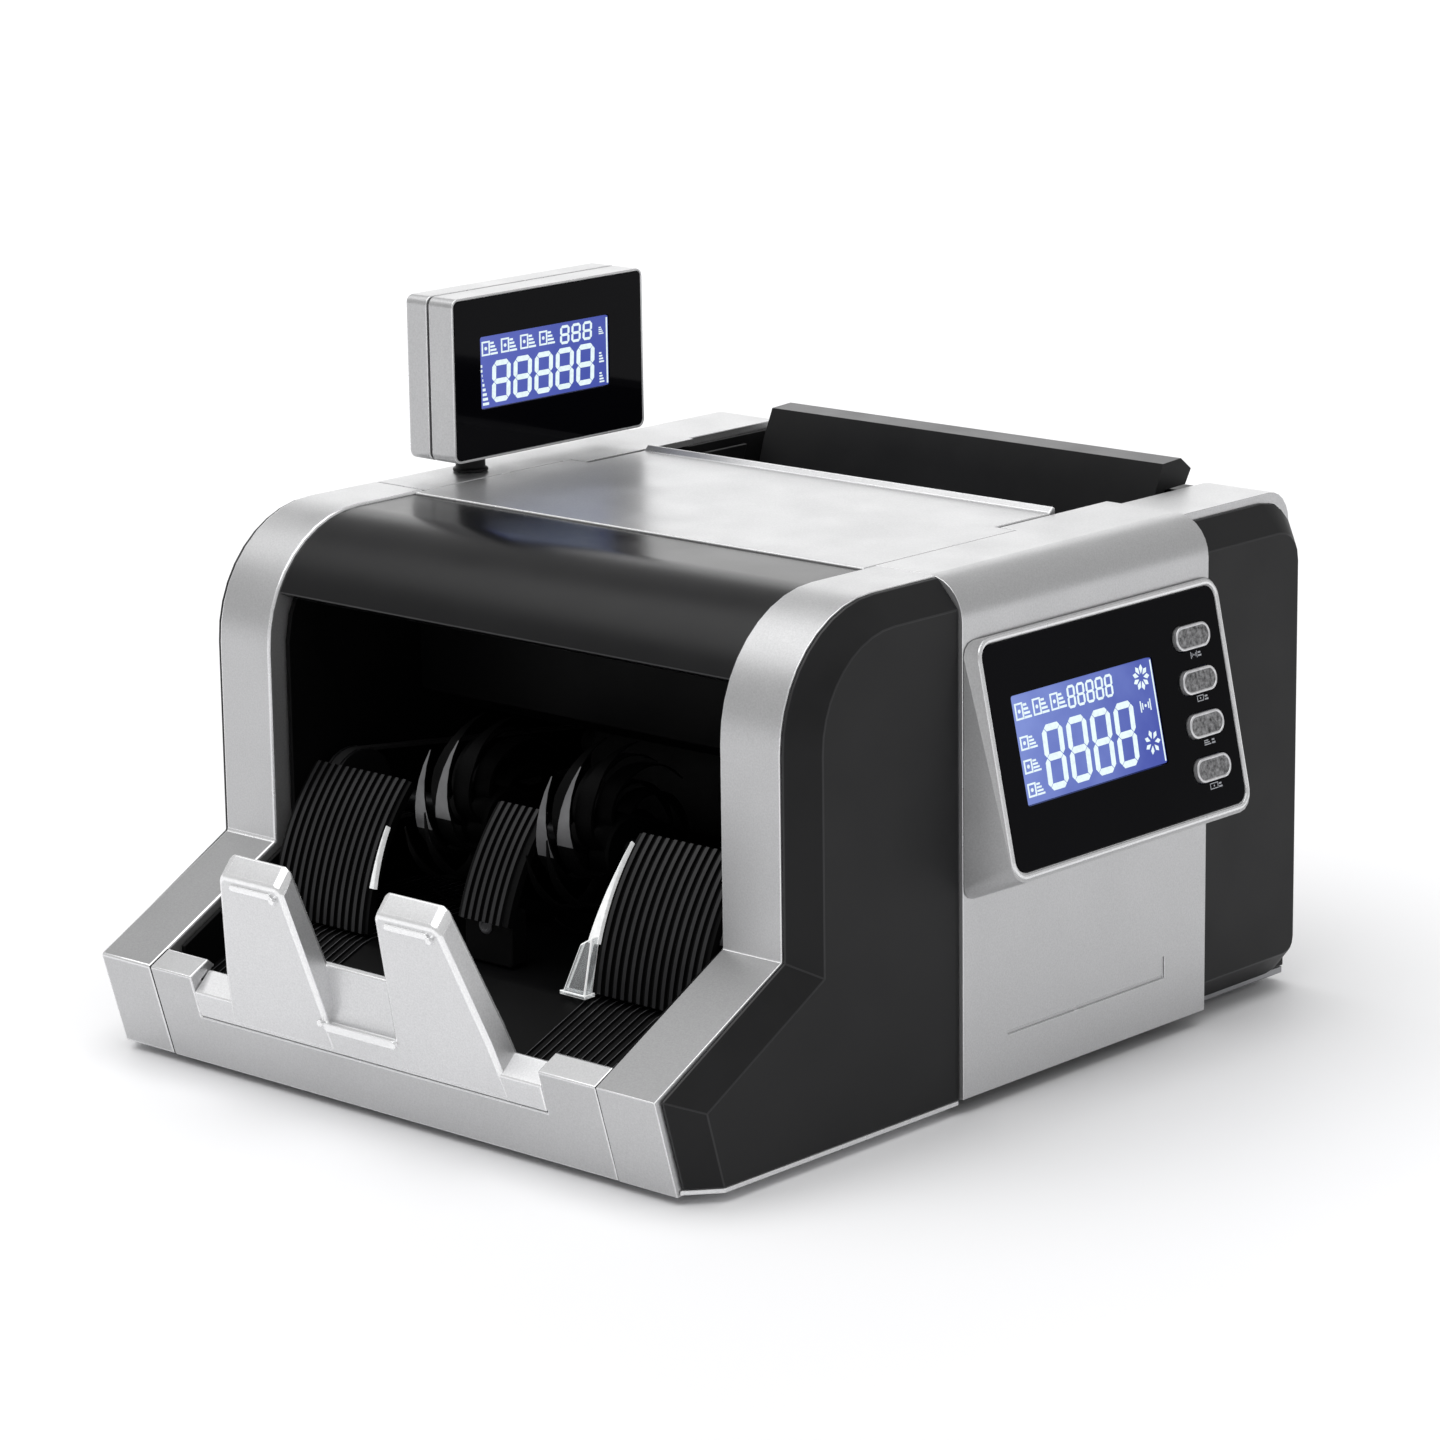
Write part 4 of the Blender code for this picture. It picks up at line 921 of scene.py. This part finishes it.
def buttons():
    """Struck metal caps with a raised rim, each with a small printed mark below it; the marks glow faintly, a
    painted glow.
    """
    marks = []
    length, height = BUTTON_HALF
    for number, w in enumerate(BUTTON_W, 1):
        corners = ((BUTTON_Y - length, w - height), (BUTTON_Y + length, w + height))
        bm = prisms([rounded_rect(*corners, height - 0.1, 8)], "X", -2.6, 1.5)
        top = max(bm.faces, key=lambda face: face.calc_center_median().x)
        bmesh.ops.inset_region(bm, faces=[top], thickness=0.35, depth=0.25, use_even_offset=True)
        bmesh.ops.inset_region(bm, faces=[top], thickness=0.35, use_even_offset=True)
        bmesh.ops.inset_region(bm, faces=[top], thickness=0.2, depth=-0.3, use_even_offset=True)
        for face in bm.faces:
            face.material_index = 1
        top.material_index = 0
        node = f"button_{number}"
        finishes = ["button_silver", "button_rim"]
        piece(f"{node}_cap", on_panel(bm), "button_silver", finishes, node, [node], 0.12)
        low = w - height - 3.0
        icons = (waves_icon(BUTTON_Y + 0.4, low + 0.9, 2.0), frame_icon(BUTTON_Y - 1.6, low, 3.6, 2.1, 0.3))
        icons += (bars_icon(BUTTON_Y - 1.6, low, 3.6, 2.1), frame_icon(BUTTON_Y - 2.2, low, 4.4, 2.1, 0.3))
        marks += icons[number - 1] + bars_icon(BUTTON_Y + 2.6, low, 1.8, 2.1, 2)
    piece("button_marks", on_panel(prisms(marks, "X", 0.15, 0.26)), "black_glass", ["print_grey_painted_glow"])


# ---------------------------------------------------------------- back and underside


def screws(name, spots, turn, radius=3.0):
    """Pan-head screws with a cross recess, in one group."""
    heads = []
    for spot in spots:
        profile = [(radius, 0.0), (radius, 0.5), (radius * 0.86, 1.1), (radius * 0.5, 1.45), (0.4, 1.55)]
        head = turned([(radius * 0.9, -0.6)] + profile, 28)
        arm, half = radius * 0.55, radius * 0.12
        cross = [(-half, -arm), (half, -arm), (half, -half), (arm, -half), (arm, half), (half, half)]
        cross += [(half, arm), (-half, arm), (-half, half), (-arm, half), (-arm, -half), (-half, -half)]
        head = carved(head, prisms([cross], "Z", 0.8, 3.0))
        bmesh.ops.transform(head, matrix=Matrix.Translation(spot) @ turn, verts=head.verts)
        heads.append(head)
    piece(name, joined(heads), "bright_steel", ["chassis_steel"], width=0.1)


def carved(bm, cutter):
    """The first mesh with the second cut out of it."""
    objects = []
    for source in (bm, cutter):
        mesh = bpy.data.meshes.new("carving")
        source.to_mesh(mesh)
        source.free()
        obj = bpy.data.objects.new("carving", mesh)
        bpy.context.scene.collection.objects.link(obj)
        objects.append(obj)
    body, tool = objects
    modifier = body.modifiers.new("cut", "BOOLEAN")
    modifier.operation = "DIFFERENCE"
    modifier.object = tool
    result = bmesh.new()
    graph = bpy.context.evaluated_depsgraph_get()
    result.from_mesh(body.evaluated_get(graph).to_mesh())
    for obj in objects:
        mesh = obj.data
        bpy.data.objects.remove(obj)
        bpy.data.meshes.remove(mesh)
    return result


def fasteners():
    towards_rear = Matrix.Rotation(-math.pi / 2, 4, "X")
    spots = [(x, REAR_FACE_Y - 0.1, z) for x in (-118, 118) for z in (16, 148)]
    screws("rear_screws", spots, towards_rear)
    downwards = Matrix.Rotation(math.pi, 4, "X")
    spots = [(x, y, 0.1) for x in (-78, 78) for y in (40, 165, 300)]
    screws("base_screws", spots, downwards)


def feet():
    """Moulded rubber feet with a stepped rim and a recessed screw well."""
    profile = [(2.4, -1.2), (3.6, -3.0), (7.6, -3.0), (8.5, -2.3), (8.5, -1.7), (8.1, -1.5), (8.1, -1.2)]
    profile += [(9.4, -1.0), (10.0, -0.3)]
    for end, y in (("front", 30), ("rear", 300)):
        for side, x in (("left", -112), ("right", 112)):
            bm = turned(profile, 40)
            bmesh.ops.translate(bm, vec=(x, y, 0), verts=bm.verts)
            node = f"foot_{end}_{side}"
            piece(f"{node}_moulded", bm, "rubber", replaced=[node], width=0.15)


def rear_trim():
    """Metal inlet pins, and the marks on the rocker, printed grey with a faint painted glow."""
    x0, z0 = INLET
    pins = []
    for x, z in ((-7, -2.4), (0, 2.6), (7, -2.4)):
        outline = rounded_rect((x0 + x - 1.1, z0 + z - 2.1), (x0 + x + 1.1, z0 + z + 2.1), 0.7, 3)
        pins.append(prisms([outline], "Y", 314.0, 325.4))
    piece("inlet_pins", joined(pins), "bright_steel", width=0.3)
    x, z = SWITCH
    bar = rect(x - 0.4, z + 1.6, x + 0.4, z + 4.6)
    ring_lines = []
    for i in range(16):
        near, far = (arc(x, z - 3.0, r, 22.5 * i, 22.5 * i + 20.0, 1) for r in (1.0, 1.5))
        ring_lines.append(near + far[::-1])
    marks = joined([prisms([bar], "Y", 331.0, 332.0), prisms(ring_lines, "Y", 331.4, 332.5)])
    piece("rocker_marks", marks, "black_nylon", ["print_grey_painted_glow"], "power_rocker")


# ---------------------------------------------------------------- all pieces

EDGE_WIDTHS = {
    "centre_shell": 0.6, "front_bar": 0.6, "panel_bezel": 1.0,
    "side_panel_front_left": 0.8, "side_panel_front_right": 0.8,
    "side_panel_rear_left": 0.8, "side_panel_rear_right": 0.8,
    "panel_glass": 0.12, "panel_lcd": 0.1, "display_lcd": 0.1,
    "top_lid": 0.5, "front_hood": 0.5,
}
OWN_MATERIAL = {
    "display_lcd": "lcd_blue_small",
    "stacker_shaft": "blackened_steel",
    # The pocket's frame plates and guides take a darker black: painted shade.
    "front_hood": "hood_black", "frame_plate_left": "pocket_black_painted_shade", "frame_plate_right": "pocket_black_painted_shade",
    "upper_guide": "pocket_black_painted_shade", "transport_guide": "pocket_black_painted_shade",
}
OWN_PIECES = {"pocket_guide_left", "pocket_guide_middle", "pocket_guide_right"}
OWN_PIECES |= {"pocket_floor", "sensor_block"}
OWN_PIECES |= {"impeller_left", "impeller_right", "button_1", "button_2", "button_3", "button_4"}
OWN_PIECES |= {"display_back", "display_front", "display_glass", "display_neck", "hopper_flap"}
OWN_PIECES |= {"stacker_plate", "rail_left", "rail_right"}
OWN_PIECES |= {f"foot_{end}_{side}" for end in ("front", "rear") for side in ("left", "right")}

for node in sorted(set(frame["nodes"]) - OWN_PIECES):
    refined(node, EDGE_WIDTHS.get(node, 0.3), 3, OWN_MATERIAL.get(node))

pocket_walls()
middle_block()
ribbed_floor()
clear_strips()
flap()
sensor()
impellers()
stacker_plate()
plate_trim()
bar_seams()
side_skirts()
rails()
panel_display()
panel_rim()
display_casing()
display_figures()
buttons()
fasteners()
feet()
rear_trim()


# ---------------------------------------------------------------- studio


def soft_light(name, location, target, size, radiance):
    """A rectangular softbox that gives the same radiance all over its face."""
    data = bpy.data.lights.new(name, "AREA")
    data.shape = "RECTANGLE"
    data.size, data.size_y = size
    data.energy = radiance * math.pi * size[0] * size[1]
    light = bpy.data.objects.new(name, data)
    light.location = location
    light.rotation_euler = (Vector(target) - Vector(location)).to_track_quat("-Z", "Y").to_euler()
    bpy.context.scene.collection.objects.link(light)


def studio():
    floor_mesh = bpy.data.meshes.new("floor")
    bm = bmesh.new()
    bmesh.ops.create_grid(bm, x_segments=1, y_segments=1, size=12.0)
    bm.to_mesh(floor_mesh)
    bm.free()
    floor = bpy.data.objects.new("floor", floor_mesh)
    bpy.context.scene.collection.objects.link(floor)
    s = Shader("floor", (0.93, 0.93, 0.94), 0.6, 0.0, Specular_IOR_Level=0.1)
    s.shade(s.noise(3, 2.0), 0.99, 1.01)
    floor_mesh.materials.append(s.material)

    world = bpy.data.worlds.new("studio")
    bpy.context.scene.world = world
    world.use_nodes = True
    world.node_tree.nodes["Background"].inputs["Color"].default_value = (1.0, 1.0, 1.0, 1.0)
    world.node_tree.nodes["Background"].inputs["Strength"].default_value = 0.5

    sun = bpy.data.lights.new("overhead", "SUN")
    sun.energy = 2.0
    sun.angle = math.radians(75)
    obj = bpy.data.objects.new("overhead", sun)
    obj.rotation_euler = (math.radians(12), math.radians(-8), 0)
    bpy.context.scene.collection.objects.link(obj)
    soft_light("back_softbox", (-2.6, 2.9, 1.2), (0, 0, 0.15), (3.6, 2.0), 1.05)


def camera():
    azimuth, elevation, roll = math.radians(42.33), math.radians(13.646), math.radians(0.784)
    distance = 1.7218
    target = place((9.94, 164.46, 106.47))
    level = math.cos(elevation)
    back = Vector((math.sin(azimuth) * level, -math.cos(azimuth) * level, math.sin(elevation)))
    right = Vector((math.cos(azimuth), math.sin(azimuth), 0))
    up = back.cross(right)
    turn = Matrix.Rotation(-roll, 3, back)
    right, up = turn @ right, turn @ up
    data = bpy.data.cameras.new("camera")
    data.sensor_width = 36
    data.lens = 124.39
    obj = bpy.data.objects.new("camera", data)
    facing = Matrix((right, up, back)).transposed().to_4x4()
    obj.matrix_world = Matrix.Translation(target + back * distance) @ facing
    bpy.context.scene.collection.objects.link(obj)
    bpy.context.scene.camera = obj


studio()
camera()
bpy.context.scene.view_settings.view_transform = "Standard"
